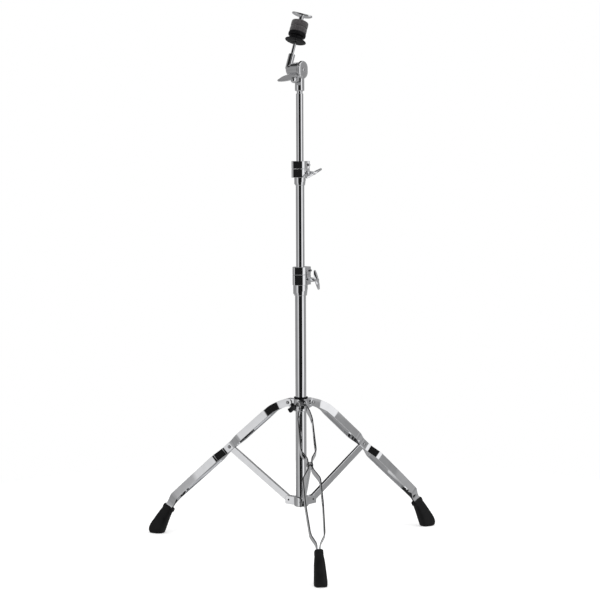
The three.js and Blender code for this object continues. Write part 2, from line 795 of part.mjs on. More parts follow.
function hexagon(across) {
  const shape = new THREE.Shape();
  for (let i = 0; i < 6; i += 1) {
    const angle = (Math.PI / 3) * i;
    const radius = across / Math.sqrt(3);
    shape[i ? 'lineTo' : 'moveTo'](radius * Math.cos(angle), radius * Math.sin(angle));
  }
  return shape;
}

// The skirt's neck and slanted sleeve, as shares of its height
const neckHeightShare = 0.45;
const sleeveHeightShare = 0.38;

function buildClamp(clamp, fixedRadius, slidingRadius, fixedWall, fixedTop) {
  const group = turnedGroup(clamp.turn);
  const bodyRadius = clamp.bodyDiameter / 2;
  const bore = fixedRadius + clearance;
  const boltRadius = boltDiameter / 2;
  const half = clamp.lugWidth / 2;
  const bodyBottom = clamp.bottom + clamp.skirtHeight;
  const split = bodyBottom + clamp.bodyHeight;
  const bodyTop = split - clearance / 2;
  const lockBottom = split + clearance / 2;
  const lockTop = split + clamp.lockHeight;
  const boltHeight = (bodyBottom + bodyTop) / 2;
  const lockMiddle = (lockBottom + lockTop) / 2;
  const bevel = clampCorner / 3;
  const far = 2 * clamp.lugReach;
  const along = (height) => [vec(clamp.boltOffset, -far, height), vec(clamp.boltOffset, far, height)];

  const skirt = clamp.skirtDiameter / 2;
  const mouth = clamp.mouthDiameter / 2;
  const waist = skirt - (skirt - mouth) / 3;
  const socket = turned([
    [0, clamp.bottom],
    [mouth, clamp.bottom],
    [waist, clamp.bottom + neckHeightShare * clamp.skirtHeight],
    [waist, bodyBottom + bevel],
    [0, bodyBottom + bevel],
  ]);
  const sleeveBottom = clamp.bottom + sleeveHeightShare * clamp.skirtHeight;
  const sleeve = ring(skirt, 0, clamp.bottom, bodyBottom + bevel);
  const under = box(vec(-far, -far, -far), vec(far, far, 0)).rotate([0, -skirtTilt, 0]);
  const skirtCut = under.rotate([0, 0, -clamp.turn]).translate([0, 0, sleeveBottom]);
  const plan = lugOutline(bodyRadius, clamp.lugReach, clamp.lugWidth);
  const body = plate(plan, bodyBottom, bodyTop, bevel);
  const slitLow = vec(0, -slitWidth / 2, bodyBottom - slitWidth);
  const slit = box(slitLow, vec(far, slitWidth / 2, lockTop + overrun));
  const boltHole = bar(...along(boltHeight), boltRadius + clearance);
  const nutPocket = plate(hexagon(nutAcross + 2 * clearance), -far, -half + nutHeight / 2)
    .rotate([90, 0, 0]).translate([clamp.boltOffset, 0, boltHeight]);
  const bossFace = bar(vec(clamp.boltOffset, -half, boltHeight), vec(clamp.boltOffset, -far, boltHeight),
    wingBossDiameter / 2 + clearance, discSides / 2);
  const casting = joined([socket, cut(sleeve, skirtCut), body]);
  const boreCut = bar(vec(0, 0, clamp.bottom - overrun), vec(0, 0, lockTop), bore, tubeSides);
  place(`${clamp.name}_clamp`, cut(casting, boreCut, slit, boltHole, nutPocket, bossFace), chrome, group);

  const inner = slidingRadius + clearance;
  const seat = fixedTop + clearance;
  const insert = fixedRadius - fixedWall - clearance;
  const flange = [[fixedRadius, seat], [fixedRadius, bodyTop], [inner, bodyTop]];
  const collet = clamp.bushingInsert
    ? [[inner, seat - clamp.bushingInsert], [insert, seat - clamp.bushingInsert], [insert, seat], ...flange]
    : [[inner, seat], ...flange];
  place(`${clamp.name}_bushing`, turned([...collet, collet[0]]), blackNylon, group);

  const lock = plate(plan, lockBottom, lockTop, bevel);
  const lockBore = bar(vec(0, 0, clamp.bottom), vec(0, 0, lockTop + overrun), inner, tubeSides);
  const screwRadius = lockScrewDiameter / 2;
  const screwHole = bar(...along(lockMiddle), screwRadius + clearance);
  const headRadius = lockScrewHead / 2;
  const headFloor = half - lockPocketShare * lockScrewDiameter;
  const beside = (y, height = 0) => vec(clamp.boltOffset, y, lockMiddle + height);
  const headPocket = bar(beside(-far), beside(-headFloor), headRadius + clearance);
  const lockBody = cut(lock, lockBore, slit, screwHole, headPocket);
  place(`${clamp.name}_memory_lock`, lockBody, chrome, group);

  const shank = bar(beside(half), beside(-half), screwRadius);
  const headEnd = half + lockScrewDiameter;
  const keyHead = bar(beside(-headFloor - clearance), beside(-headEnd), headRadius);
  const squareHalf = headRadius / Math.sqrt(3);
  const corner = (side) => beside(-headEnd + side * headRadius, side * squareHalf);
  const square = box(corner(-1).sub(vec(squareHalf, 0, 0)), corner(1).add(vec(squareHalf, 0, 0)));
  const screw = joined([shank, keyHead, square]).translate([0, -clearance / 2, 0]);
  place(`${clamp.name}_lock_screw`, screw, steel, group);

  const boltEnd = half + nutHeight;
  const wingStart = half + clearance;
  const bolt = bar(vec(0, boltEnd, 0), vec(0, -wingStart - overrun, 0), boltRadius);
  const handle = wing(wingSpan, wingDepth, wingThickness, clamp.wingRoll, wingStart, wingReach - half,
    wingBossDiameter);
  const wingBolt = bolt.add(handle).translate([clamp.boltOffset, 0, boltHeight]);
  place(`${clamp.name}_wing_bolt`, wingBolt, chrome, group);
  const nutStart = half - nutHeight / 2 + clearance;
  const nut = plate(hexagon(nutAcross), -nutStart - nutHeight, -nutStart, nutHeight / 8)
    .rotate([90, 0, 0]).translate([clamp.boltOffset, 0, boltHeight]);
  place(`${clamp.name}_clamp_nut`, cut(nut, boltHole), steel, group);
}
buildClamp(lowerClamp, baseRadius, middleRadius, baseTubeWall, baseTubeTop);
buildClamp(upperClamp, middleRadius, upperRadius, middleTubeWall, middleTubeTop);

// Tilter: a casting plugged into the upper tube, with a split drum that grips the arm's shaft
const tilter = turnedGroup(tilterTurn);
const drumRadius = drumDiameter / 2;
const boreRadius = drumBore / 2;

function alongY(outer, from, to, sides = discSides) {
  return bar(vec(0, from, tilterHeight), vec(0, to, tilterHeight), outer, sides);
}

function buildTilterHousing() {
  const neckRadius = neckDiameter / 2;
  const spigotRadius = spigotDiameter / 2;
  const plugRadius = upperRadius - upperTubeWall - clearance;
  const spigot = turned([
    [0, upperTubeTop - spigotInsert],
    [plugRadius, upperTubeTop - spigotInsert],
    [plugRadius, upperTubeTop],
    [spigotRadius, upperTubeTop + clearance],
    [spigotRadius, neckBottom - tubeEndRound],
    [neckRadius - tubeEndRound, neckBottom],
    [neckRadius, neckBottom + tubeEndRound],
    [neckRadius, tilterHeight - boreRadius],
    [0, tilterHeight - boreRadius],
  ]);
  const jawInner = -jawOffset + jawSlit;
  const openLow = vec(-neckDiameter, -neckDiameter, neckTop);
  const openSide = box(openLow, vec(jawInner, neckDiameter, tilterHeight));
  const drum = alongY(drumRadius, -drumRight, drumLeft);
  const jawLow = vec(-jawOffset - jawThickness, -jawWidth / 2, neckTop + jawGap);
  const jaw = box(jawLow, vec(-jawOffset, jawWidth / 2, tilterHeight - boreRadius));
  const head = plate(roundedBar(headWidth, headHeight), 0, headThickness, tubeEndRound)
    .rotate([90, 0, 0]).translate([0, -drumRight, tilterHeight]);
  const gussetOutline = new THREE.Shape();
  gussetOutline.moveTo(0, neckBottom);
  gussetOutline.lineTo(neckRadius, neckBottom + tubeEndRound);
  const gussetReach = drumRight + headThickness - tubeEndRound;
  const drumBottom = tilterHeight - drumRadius;
  gussetOutline.quadraticCurveTo(neckRadius + tubeEndRound, neckTop, gussetReach, drumBottom);
  gussetOutline.lineTo(0, tilterHeight - boreRadius);
  const gusset = plate(gussetOutline, -gussetThickness / 2, gussetThickness / 2)
    .rotate([90, 0, 0]).rotate([0, 0, -90]);
  const slitTop = tilterHeight - boreRadius / 2;
  const slit = box(vec(-jawOffset, -neckDiameter, neckTop), vec(jawInner, neckDiameter, slitTop));
  const bore = alongY(boreRadius, -drumRight + headThickness / 2, drumLeft + overrun);
  const screwHole = alongY(shaftScrewDiameter / 2 + clearance, -drumRight - 2 * headThickness, drumLeft);
  const boltLine = [vec(-neckDiameter, 0, leverHeight), vec(neckRadius / 2, 0, leverHeight)];
  const boltHole = bar(...boltLine, leverBoltDiameter / 2 + clearance);
  const seatFloor = -drumRight - headThickness / 2;
  const seat = alongY(shaftScrewHead / 2 + clearance, -drumRight - 2 * headThickness, seatFloor);
  const casting = joined([cut(spigot, openSide), drum, jaw, head, gusset]);
  place('tilter_housing', cut(casting, slit, bore, screwHole, boltHole, seat), chrome, tilter);
}
buildTilterHousing();

// The eye's dome as shares of its length and radius, and the post's foot as shares of its radius
const eyeDomeShares = [[0, 1], [0.3, 0.91], [0.58, 0.73], [0.83, 0.47], [0.97, 0.2], [1, 0]];
const postFootShares = [[0, -0.1], [0.5, 0], [0.85, 0.35], [1, 0.9]];

function buildTilterInside() {
  const shaftRadius = shaftDiameter / 2;
  const sleeveOuter = boreRadius - clearance;
  const sleeveInner = shaftRadius + clearance;
  const from = -drumRight + headThickness / 2 + clearance;
  const sleeveBore = alongY(sleeveInner, from - overrun, drumLeft + overrun);
  place('tilter_brake_sleeve', cut(alongY(sleeveOuter, from, drumLeft), sleeveBore), blackNylon, tilter);

  const arm = new THREE.Group();
  arm.position.z = tilterHeight;
  arm.rotation.y = radians(tilterLean);
  tilter.add(arm);
  const eyeStart = drumLeft + clearance;
  const eyeEnd = eyeStart + eyeThickness;
  const eyeRadius = eyeDiameter / 2;
  const dome = eyeDomeShares.map(([along, out]) => [out * eyeRadius, -eyeEnd - along * eyeDomeLength]);
  const eyeProfile = [...dome.reverse(), [eyeRadius, -eyeStart], [0, -eyeStart]];
  const eye = turned(eyeProfile, discSides).rotate([90, 0, 0]);
  const shaft = bar(vec(0, from + 2 * clearance, 0), vec(0, eyeEnd, 0), shaftRadius, tubeSides);
  const postRadius = postDiameter / 2;
  const foot = postFootShares.map(([out, up]) => [out * postRadius, up * postRadius]);
  const post = turned([
    ...foot,
    [postRadius, postLength - tubeEndRound],
    [postRadius - tubeEndRound, postLength],
    [0, postLength],
  ], tubeSides).translate([0, postOffset, 0]);
  const rodRadius = rodDiameter / 2;
  const rodLine = [vec(0, postOffset, postLength / 2), vec(0, postOffset, postLength + overrun)];
  const rodHole = bar(...rodLine, rodRadius + clearance);
  const screwRadius = shaftScrewDiameter / 2;
  const screwDepth = drumLeft / 2;
  const screwLine = [vec(0, -drumRight - overrun, 0), vec(0, screwDepth + clearance, 0)];
  const screwHole = bar(...screwLine, screwRadius + clearance);
  place('tilter_arm', cut(joined([eye, shaft, post]), rodHole, screwHole), chrome, arm);

  const headSeat = -drumRight - headThickness / 2 - clearance;
  const headRadius = shaftScrewHead / 2;
  const screw = turned([
    [0, -screwDepth],
    [screwRadius, -screwDepth],
    [screwRadius, -headSeat],
    [headRadius, -headSeat],
    [headRadius, -headSeat + headThickness / 2],
    [headRadius / 2, -headSeat + headThickness / 2 + tubeEndRound],
    [0, -headSeat + headThickness / 2 + tubeEndRound],
  ], tubeSides).rotate([90, 0, 0]);
  place('tilter_shaft_screw', screw, steel, arm);

  const stack = new THREE.Group();
  stack.position.y = postOffset;
  arm.add(stack);
  return stack;
}
const stack = buildTilterInside();

// Lever: its boss in shares of radius and length, the leaf's edges in shares of length and half depth
const leverBossShares = [[0, 0], [1, 0], [1, 0.5], [0.8, 0.85], [0.5, 1], [0, 1]];
const leverLowerShares = [[0.33, -1.1], [0.8, -1], [1, -0.25]];
const leverUpperShares = [[0.75, 1.2], [0.33, 1.2], [0, 1]];

// Single-leaf lever whose bolt closes the jaw
function buildLever() {
  const boltRadius = leverBoltDiameter / 2;
  const face = -jawOffset - jawThickness - clearance;
  const boltEnds = [vec(neckDiameter / 4 - clearance, 0, 0), vec(face - leverBossLength / 2, 0, 0)];
  const bolt = bar(...boltEnds, boltRadius);
  const bossRadius = leverBossDiameter / 2;
  const profile = leverBossShares.map(([out, along]) => [out * bossRadius, along * leverBossLength]);
  const boss = turned(profile, tubeSides).rotate([0, -90, 0]).translate([face, 0, 0]);
  const leaf = new THREE.Shape();
  const half = leverDepth / 2;
  const side = (points) => points.map(([along, out]) => [along * leverLength, out * half]).flat();
  leaf.moveTo(0, -half);
  leaf.bezierCurveTo(...side(leverLowerShares));
  leaf.quadraticCurveTo(leverLength + half / 3, half / 3, leverLength - half / 2, half / 2);
  leaf.bezierCurveTo(...side(leverUpperShares));
  const blade = plate(leaf, -leverThickness / 2, leverThickness / 2, leverThickness / 5, 5);
  const bladeX = face - leverThickness;
  const lever = blade.rotate([90, 0, 90]).rotate([-leverDroop, 0, 0]).translate([bladeX, 0, leverLift]);
  place('tilter_lever', joined([bolt, boss, lever]).translate([0, 0, leverHeight]), chrome, tilter);
}
buildLever();

// Rod, seat, felts and wing nut, stacked along the leaning rod
// The seat's profile: shares of the flange's radius and height, then of the cup's radius and height
const flangeShares = [[0.45, -0.5], [1, 0.5], [0.95, 1]];
const cupShares = [[0.82, 0], [1, 0.33], [1, 0.83], [0.96, 1]];
const waistShare = 0.78;
const nutCollarShare = 1.3;
const nutTopShare = 0.6;

function buildStack() {
  const rodRadius = rodDiameter / 2;
  const rodBottom = postLength / 2 + clearance;
  const cupTop = seatBottom + seatHeight;
  const feltBottom = cupTop + clearance;
  const feltSeam = feltBottom + lowerFeltHeight;
  const upperFeltBottom = feltSeam + clearance;
  const feltTop = upperFeltBottom + upperFeltHeight;
  const nutBottom = feltTop + clearance;
  const plateBottom = nutBottom + wingNutStemHeight;
  const plateTop = plateBottom + wingNutPlate;
  const domeTop = plateTop + wingNutDomeHeight;
  const rodTop = domeTop - rodTopDepth;
  const rod = turned([
    [0, rodBottom],
    [rodRadius, rodBottom],
    [rodRadius, rodTop - tubeEndRound],
    [rodRadius - tubeEndRound, rodTop],
    [0, rodTop],
  ], tubeSides);
  place('cymbal_rod', rod, steel, stack);

  const bore = rodRadius + clearance;
  const flange = seatFlangeDiameter / 2;
  const cup = seatCupDiameter / 2;
  const sleeve = seatSleeveDiameter / 2;
  const cupBottom = cupTop - seatCupHeight;
  const waist = (cupBottom + seatBottom + seatFlangeHeight) / 2;
  const sleeveTop = feltTop - upperFeltHeight / 3;
  const seat = turned([
    [bore, seatBottom],
    ...flangeShares.map(([out, up]) => [out * flange, seatBottom + up * seatFlangeHeight]),
    [waistShare * cup, waist],
    ...cupShares.map(([out, up]) => [out * cup, cupBottom + up * seatCupHeight]),
    [sleeve, cupTop],
    [sleeve, sleeveTop],
    [bore, sleeveTop],
    [bore, seatBottom],
  ], discSides);
  place('cymbal_seat', seat, blackNylon, stack);

  const felt = (bottom, height, softTop) => {
    const radius = feltDiameter / 2;
    const hole = feltHole / 2;
    const top = bottom + height;
    const round = softTop ? feltRound : feltRound / 2;
    return turned([
      [hole, bottom],
      [radius - feltRound / 2, bottom],
      [radius, bottom + feltRound / 2],
      [radius, top - round],
      [radius - round, top],
      [hole, top],
      [hole, bottom],
    ], discSides);
  };
  place('lower_felt', felt(feltBottom, lowerFeltHeight, false), greyFelt, stack);
  place('upper_felt', felt(upperFeltBottom, upperFeltHeight, true), greyFelt, stack);

  const stemRadius = wingNutStemDiameter / 2;
  const stem = turned([
    [0, nutBottom],
    [stemRadius + tubeEndRound, nutBottom],
    [stemRadius, nutBottom + 2 * tubeEndRound],
    [stemRadius, plateBottom],
    [nutCollarShare * stemRadius, plateTop],
    [stemRadius, domeTop - wingNutDomeHeight / 4],
    [nutTopShare * stemRadius, domeTop],
    [0, domeTop],
  ], tubeSides);
  const oval = new THREE.Shape();
  const bevel = wingNutPlate / 4;
  oval.absellipse(0, 0, wingNutSpan / 2, wingNutWidth / 2, 0, 2 * Math.PI);
  const leaves = plate(oval, plateBottom, plateTop, bevel, discSides / 2);
  const dished = leaves.warp((point) => {
    point[2] += 0.6 * wingNutPlate * (2 * point[0] / wingNutSpan) ** 2;
  });
  const rodHole = bar(vec(0, 0, rodBottom), vec(0, 0, rodTop + clearance), bore);
  const nut = place('wing_nut', cut(stem.add(dished), rodHole), chrome, stack);
  nut.rotation.z = radians(wingNutTurn);
}
buildStack();

// The origin goes under the middle of the stand's plan
const bounds = new THREE.Box3().setFromObject(stand);
const shift = vec((bounds.min.x + bounds.max.x) / -2, (bounds.min.y + bounds.max.y) / -2, 0);
stand.children.forEach((child) => child.position.add(shift));

export default stand;
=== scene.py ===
import json
import math

import bmesh
import bpy
from mathutils import Matrix, Vector

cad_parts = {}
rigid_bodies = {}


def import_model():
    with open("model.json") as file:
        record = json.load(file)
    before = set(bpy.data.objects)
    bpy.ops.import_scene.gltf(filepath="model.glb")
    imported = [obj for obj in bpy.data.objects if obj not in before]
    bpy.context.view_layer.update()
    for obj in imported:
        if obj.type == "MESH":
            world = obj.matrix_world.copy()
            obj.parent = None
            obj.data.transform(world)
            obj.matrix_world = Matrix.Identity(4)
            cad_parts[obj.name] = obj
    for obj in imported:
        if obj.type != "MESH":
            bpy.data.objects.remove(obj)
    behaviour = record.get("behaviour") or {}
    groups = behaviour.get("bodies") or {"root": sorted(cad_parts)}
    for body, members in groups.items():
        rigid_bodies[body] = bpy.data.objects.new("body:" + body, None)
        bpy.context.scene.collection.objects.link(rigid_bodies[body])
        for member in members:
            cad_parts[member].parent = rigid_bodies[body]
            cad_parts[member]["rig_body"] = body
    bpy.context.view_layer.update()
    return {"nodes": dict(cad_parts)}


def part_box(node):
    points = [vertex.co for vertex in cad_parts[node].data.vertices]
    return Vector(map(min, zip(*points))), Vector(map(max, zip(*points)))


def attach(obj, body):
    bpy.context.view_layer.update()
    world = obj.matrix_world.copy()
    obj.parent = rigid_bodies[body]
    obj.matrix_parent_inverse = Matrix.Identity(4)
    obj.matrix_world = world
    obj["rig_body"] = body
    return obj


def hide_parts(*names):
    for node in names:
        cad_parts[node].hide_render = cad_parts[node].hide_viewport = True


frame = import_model()
nodes = frame["nodes"]
scene = bpy.context.scene

mm = 0.001  # forms are drawn in millimetres about the tube's axis, then set into the frame
tubeLow, tubeHigh = (Vector(corner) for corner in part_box("base_tube"))
axis = (tubeLow + tubeHigh) / 2
axis.z = 0
legCount = 3
legAngle = 360 / legCount
clearance = 0.3
overrun = 5  # what a cut runs past the piece
farCut = 60  # and where it has to clear everything
weld = 0.0005  # points nearer than this are one
cornerShare = 0.48  # how much of an edge a corner's curve may take
fineRound, plainRound, smallRound, pinRound = 128, 96, 64, 48  # sides of round forms, by their size


# ---- setting forms into the frame

def spun(degrees, about="Z"):
    return Matrix.Rotation(math.radians(degrees), 4, about)


def shifted(x=0, y=0, z=0):
    return Matrix.Translation((x, y, z))


def placed(turn=0, move=(0, 0, 0)):  # from a piece's own millimetres to the row frame
    return Matrix.Translation(axis) @ Matrix.Scale(mm, 4) @ spun(turn) @ Matrix.Translation(move)


sideView = Matrix(((0, 0, -1, 0), (-1, 0, 0, 0), (0, 1, 0, 0), (0, 0, 0, 1)))  # (out, up) drawings stand towards -Y
faceOn = Matrix(((0, 0, 1, 0), (1, 0, 0, 0), (0, 1, 0, 0), (0, 0, 0, 1)))  # (side, up) drawings stand towards +X
alongY = spun(90, "X")  # +Z goes to -Y


def heightOf(node):
    low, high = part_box(node)
    return low[2] / mm, high[2] / mm


# ---- forms

def softened(points, radius, steps=4, closed=True):  # corners turned into short curves
    rounded = []
    for i, point in enumerate(points):
        here = Vector(point)
        if not closed and i in (0, len(points) - 1):
            rounded.append(here)
            continue
        before = Vector(points[i - 1]) - here
        after = Vector(points[(i + 1) % len(points)]) - here
        reach = min(radius, cornerShare * before.length, cornerShare * after.length)
        start = here + before.normalized() * reach
        end = here + after.normalized() * reach
        for k in range(steps + 1):
            t = k / steps
            rounded.append((1 - t) ** 2 * start + 2 * t * (1 - t) * here + t * t * end)
    return rounded


def arc(x, y, radius, start, end, steps=16):
    angles = [math.radians(start + (end - start) * i / steps) for i in range(steps + 1)]
    return [(x + radius * math.cos(a), y + radius * math.sin(a)) for a in angles]


def closedMesh(bm, name="form"):
    bmesh.ops.remove_doubles(bm, verts=bm.verts, dist=weld)
    bmesh.ops.recalc_face_normals(bm, faces=bm.faces)
    mesh = bpy.data.meshes.new(name)
    bm.to_mesh(mesh)
    bm.free()
    return mesh


def skinned(rings, capped=True, looped=False):  # rings of equally many points, joined in a row
    bm = bmesh.new()
    rows = [[bm.verts.new(point) for point in ring] for ring in rings]
    count = len(rows[0])
    pairs = list(zip(rows, rows[1:]))
    if looped:
        pairs.append((rows[-1], rows[0]))
    for lower, upper in pairs:
        for j in range(count):
            k = (j + 1) % count
            bm.faces.new((lower[j], lower[k], upper[k], upper[j]))
    if capped and not looped:
        bm.faces.new(list(reversed(rows[0])))
        bm.faces.new(rows[-1])
    return closedMesh(bm)


def revolved(profile, sides=plainRound, closed=False):  # (radius, height) points about Z
    tiny = 1e-4
    rings = []
    for radius, height in profile:
        reach = max(radius, tiny)
        rings.append([(reach * math.cos(2 * math.pi * j / sides), reach * math.sin(2 * math.pi * j / sides), height)
                      for j in range(sides)])
    return skinned(rings, capped=not closed, looped=closed)


def lathed(profile, round, sides=plainRound, closed=False):  # a solid about Z, softened where the profile turns
    return revolved([(0, profile[0][1]), *softened(profile, round, closed=closed), (0, profile[-1][1])], sides)


def prism(outline, bottom, top, bevel=0.0, segments=3):
    bm = bmesh.new()
    low = [bm.verts.new((x, y, bottom)) for x, y in outline]
    high = [bm.verts.new((x, y, top)) for x, y in outline]
    caps = [bm.faces.new(list(reversed(low))), bm.faces.new(high)]
    for j in range(len(low)):
        k = (j + 1) % len(low)
        bm.faces.new((low[j], low[k], high[k], high[j]))
    bmesh.ops.recalc_face_normals(bm, faces=bm.faces)
    if bevel:
        edges = [edge for cap in caps for edge in cap.edges]
        bmesh.ops.bevel(bm, geom=edges, offset=bevel, segments=segments, profile=0.5, affect="EDGES")
    return closedMesh(bm)


def rod(start, end, radius, sides=smallRound):
    start, end = Vector(start), Vector(end)
    length = (end - start).length
    mesh = revolved([(0, 0), (radius, 0), (radius, length), (0, length)], sides)
    turn = Vector((0, 0, 1)).rotation_difference(end - start).to_matrix().to_4x4()
    mesh.transform(Matrix.Translation(start) @ turn)
    return mesh


def upright(bottom, top, diameter, sides=plainRound):
    return rod((0, 0, bottom), (0, 0, top), diameter / 2, sides)


def block(low, high):
    bm = bmesh.new()
    bmesh.ops.create_cube(bm, size=1)
    low, high = Vector(low), Vector(high)
    bmesh.ops.scale(bm, vec=high - low, verts=bm.verts)
    bmesh.ops.translate(bm, vec=(low + high) / 2, verts=bm.verts)
    return closedMesh(bm)


def moved(mesh, matrix):
    mesh.transform(matrix)
    return mesh


def linked(mesh, name="form"):
    item = bpy.data.objects.new(name, mesh)
    scene.collection.objects.link(item)
    return item


def evaluated(item):  # the object's finished mesh as a plain one
    depsgraph = bpy.context.evaluated_depsgraph_get()
    return bpy.data.meshes.new_from_object(item.evaluated_get(depsgraph))


def shaped(adds, cuts=(), keeps=()):  # forms joined, then cut, then kept to what lies inside others
    base = linked(adds[0])
    tools = []
    for operation, forms in (("UNION", adds[1:]), ("DIFFERENCE", cuts), ("INTERSECT", keeps)):
        for form in forms:
            tool = linked(form)
            tools.append(tool)
            modifier = base.modifiers.new("shape", "BOOLEAN")
            modifier.operation = operation
            modifier.solver = "EXACT"
            modifier.object = tool
    mesh = evaluated(base)
    for item in [base] + tools:
        bpy.data.objects.remove(item)
    return mesh


def piece(name, mesh, place, finish, standsFor, sharpAngle=34):  # a finished piece on the body of what it replaces
    mesh.transform(place)
    mesh.materials.clear()
    mesh.materials.append(finishes[finish])
    mesh.shade_smooth()
    mesh.set_sharp_from_angle(angle=math.radians(sharpAngle))
    mesh.name = name
    item = linked(mesh, name)
    even = item.modifiers.new("evenShading", "WEIGHTED_NORMAL")
    even.keep_sharp = True
    flat = evaluated(item)
    item.modifiers.remove(even)
    item.data = flat
    flat.name = name
    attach(item, nodes[standsFor[0]]["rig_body"])
    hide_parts(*standsFor)
    return item


# ---- finishes


class Tree:  # a material, world or geometry tree with short calls
    def __init__(self, tree):
        self.tree = tree

    def fill(self, socket, value):  # the value itself, or a link from another node
        if isinstance(value, bpy.types.NodeSocket):
            self.tree.links.new(value, socket)
        else:
            socket.default_value = value

    def add(self, kind, inputs=(), **settings):
        node = self.tree.nodes.new(kind)
        for key, value in settings.items():
            setattr(node, key, value)
        for key, value in dict(inputs).items():
            self.fill(node.inputs[key], value)
        return node

    def maths(self, operation, *values):
        return self.add("ShaderNodeMath", enumerate(values), operation=operation).outputs[0]

    def noise(self, vector, scale, detail=4, roughness=0.5):
        return self.add("ShaderNodeTexNoise", {"Vector": vector, "Scale": scale, "Detail": detail,
                                               "Roughness": roughness}).outputs["Fac"]

    def spread(self, value, low, high, fromLow=0.3, fromHigh=0.7):
        return self.add("ShaderNodeMapRange", {"Value": value, "From Min": fromLow, "From Max": fromHigh,
                                               "To Min": low, "To Max": high}).outputs["Result"]

    def stretched(self, vector, scale):
        return self.add("ShaderNodeMapping", {"Vector": vector, "Scale": scale}).outputs["Vector"]

    def bump(self, height, strength, distance, below=None):
        node = self.add("ShaderNodeBump", {"Height": height, "Strength": strength, "Distance": distance})
        if below:
            self.fill(node.inputs["Normal"], below)
        return node.outputs["Normal"]

    def between(self, factor, first, second):  # colours or links
        node = self.add("ShaderNodeMix", data_type="RGBA")
        sockets = [socket for socket in node.inputs if socket.enabled]
        for socket, value in zip(sockets, (factor, first, second)):
            self.fill(socket, (*value, 1) if isinstance(value, tuple) else value)
        return next(socket for socket in node.outputs if socket.enabled)


class Finish(Tree):  # a material whose shader's inputs are set by name
    def __init__(self, name, **values):
        self.material = bpy.data.materials.new(name)
        self.material.use_nodes = True
        super().__init__(self.material.node_tree)
        self.place = self.add("ShaderNodeTexCoord").outputs["Object"]
        self.coat(**values)

    def coat(self, **values):
        shader = self.tree.nodes["Principled BSDF"]
        for key, value in values.items():
            self.fill(shader.inputs[key.replace("_", " ")], value)
        return self.material


patterns = {"haze": 60, "wiping": 900, "ripple": 160, "turning": 1400, "cloud": 90, "spark": 2600, "dust": 45,
            "pebble": 1500, "mottle": 260, "fibre": 1500}  # grains of each in a metre


def chromeFinish(name, colour, polish, wipe, swell):  # plated metal: faint haze, wiping marks and plating ripple
    look = Finish(name, Metallic=1.0)
    haze = look.noise(look.place, patterns["haze"], 3)
    marks = look.noise(look.stretched(look.place, wipe), patterns["wiping"], 2)
    return look.coat(
        Base_Color=look.between(look.spread(haze, 0, 1), colour["dull"], colour["bright"]),
        Roughness=look.maths("MULTIPLY", look.spread(haze, 0.6, 1.3),
                             look.spread(marks, polish["best"], polish["worst"])),
        Normal=look.bump(look.noise(look.place, patterns["ripple"], 1), swell, 0.0004))


def steelFinish(name, colour):  # turned and plated fasteners
    look = Finish(name, Metallic=1.0)
    grain = look.noise(look.stretched(look.place, (1, 1, 5)), patterns["turning"], 3)
    return look.coat(
        Base_Color=look.between(grain, colour["dark"], colour["light"]),
        Roughness=look.spread(grain, colour["smooth"], colour["rough"]),
        Normal=look.bump(grain, 0.06, 0.0001))


def nylonFinish():  # moulded black plastic with a fine spark grain
    look = Finish("mouldedNylon", Specular_IOR_Level=0.14)
    cloud = look.noise(look.place, patterns["cloud"], 3)
    return look.coat(
        Base_Color=look.between(cloud, (0.003, 0.003, 0.0035), (0.006, 0.006, 0.0065)),
        Roughness=look.spread(cloud, 0.3, 0.42),
        Normal=look.bump(look.noise(look.place, patterns["spark"], 2), 0.12, 0.0001))


def rubberFinish():  # matt rubber with dust in its fine pebble
    look = Finish("bootRubber", Specular_IOR_Level=0.24)
    cloud = look.noise(look.place, patterns["dust"], 5)
    pebble = look.add("ShaderNodeTexVoronoi", {"Scale": patterns["pebble"], "Vector": look.place}).outputs["Distance"]
    return look.coat(
        Base_Color=look.between(look.spread(cloud, 0, 1), (0.004, 0.004, 0.0045), (0.01, 0.01, 0.0105)),
        Roughness=look.spread(cloud, 0.46, 0.62),
        Normal=look.bump(pebble, 0.22, 0.00015, look.bump(cloud, 0.1, 0.0006)))


def feltFinish():  # pressed wool: tangled fibres, mottled grey, a soft sheen
    look = Finish("pressedFelt", Roughness=1.0, Sheen_Weight=0.35, Sheen_Roughness=0.6, Specular_IOR_Level=0.15)
    mottle = look.noise(look.place, patterns["mottle"], 6, 0.7)
    fibre = look.noise(look.stretched(look.place, (1, 1, 3.5)), patterns["fibre"], 5, 0.8)
    wool = look.spread(look.maths("MULTIPLY_ADD", fibre, 0.6, mottle), 0, 1, 0.55, 1.05)
    return look.coat(
        Base_Color=look.between(wool, (0.014, 0.012, 0.013), (0.056, 0.049, 0.052)),
        Normal=look.bump(fibre, 0.8, 0.0005, look.bump(mottle, 0.5, 0.0012)))


bright = {"dull": (0.84, 0.845, 0.855), "bright": (0.9, 0.905, 0.915)}
finishes = {
    "chrome": chromeFinish("castChrome", bright, {"best": 0.03, "worst": 0.05}, (1, 1, 1), 0.006),
    "tubeChrome": chromeFinish("tubeChrome", bright, {"best": 0.015, "worst": 0.03}, (1, 1, 0.08), 0.001),
    "brightSteel": steelFinish("platedSteel", {"dark": (0.42, 0.42, 0.43), "light": (0.68, 0.68, 0.69),
                                              "smooth": 0.16, "rough": 0.34}),
    "darkSteel": steelFinish("blackedSteel", {"dark": (0.03, 0.03, 0.032), "light": (0.09, 0.09, 0.095),
                                             "smooth": 0.22, "rough": 0.4}),
    "nylon": nylonFinish(),
    "rubber": rubberFinish(),
    "felt": feltFinish(),
}
print("finishes made")


# ---- geometry trees for what repeats: tubes and rivets

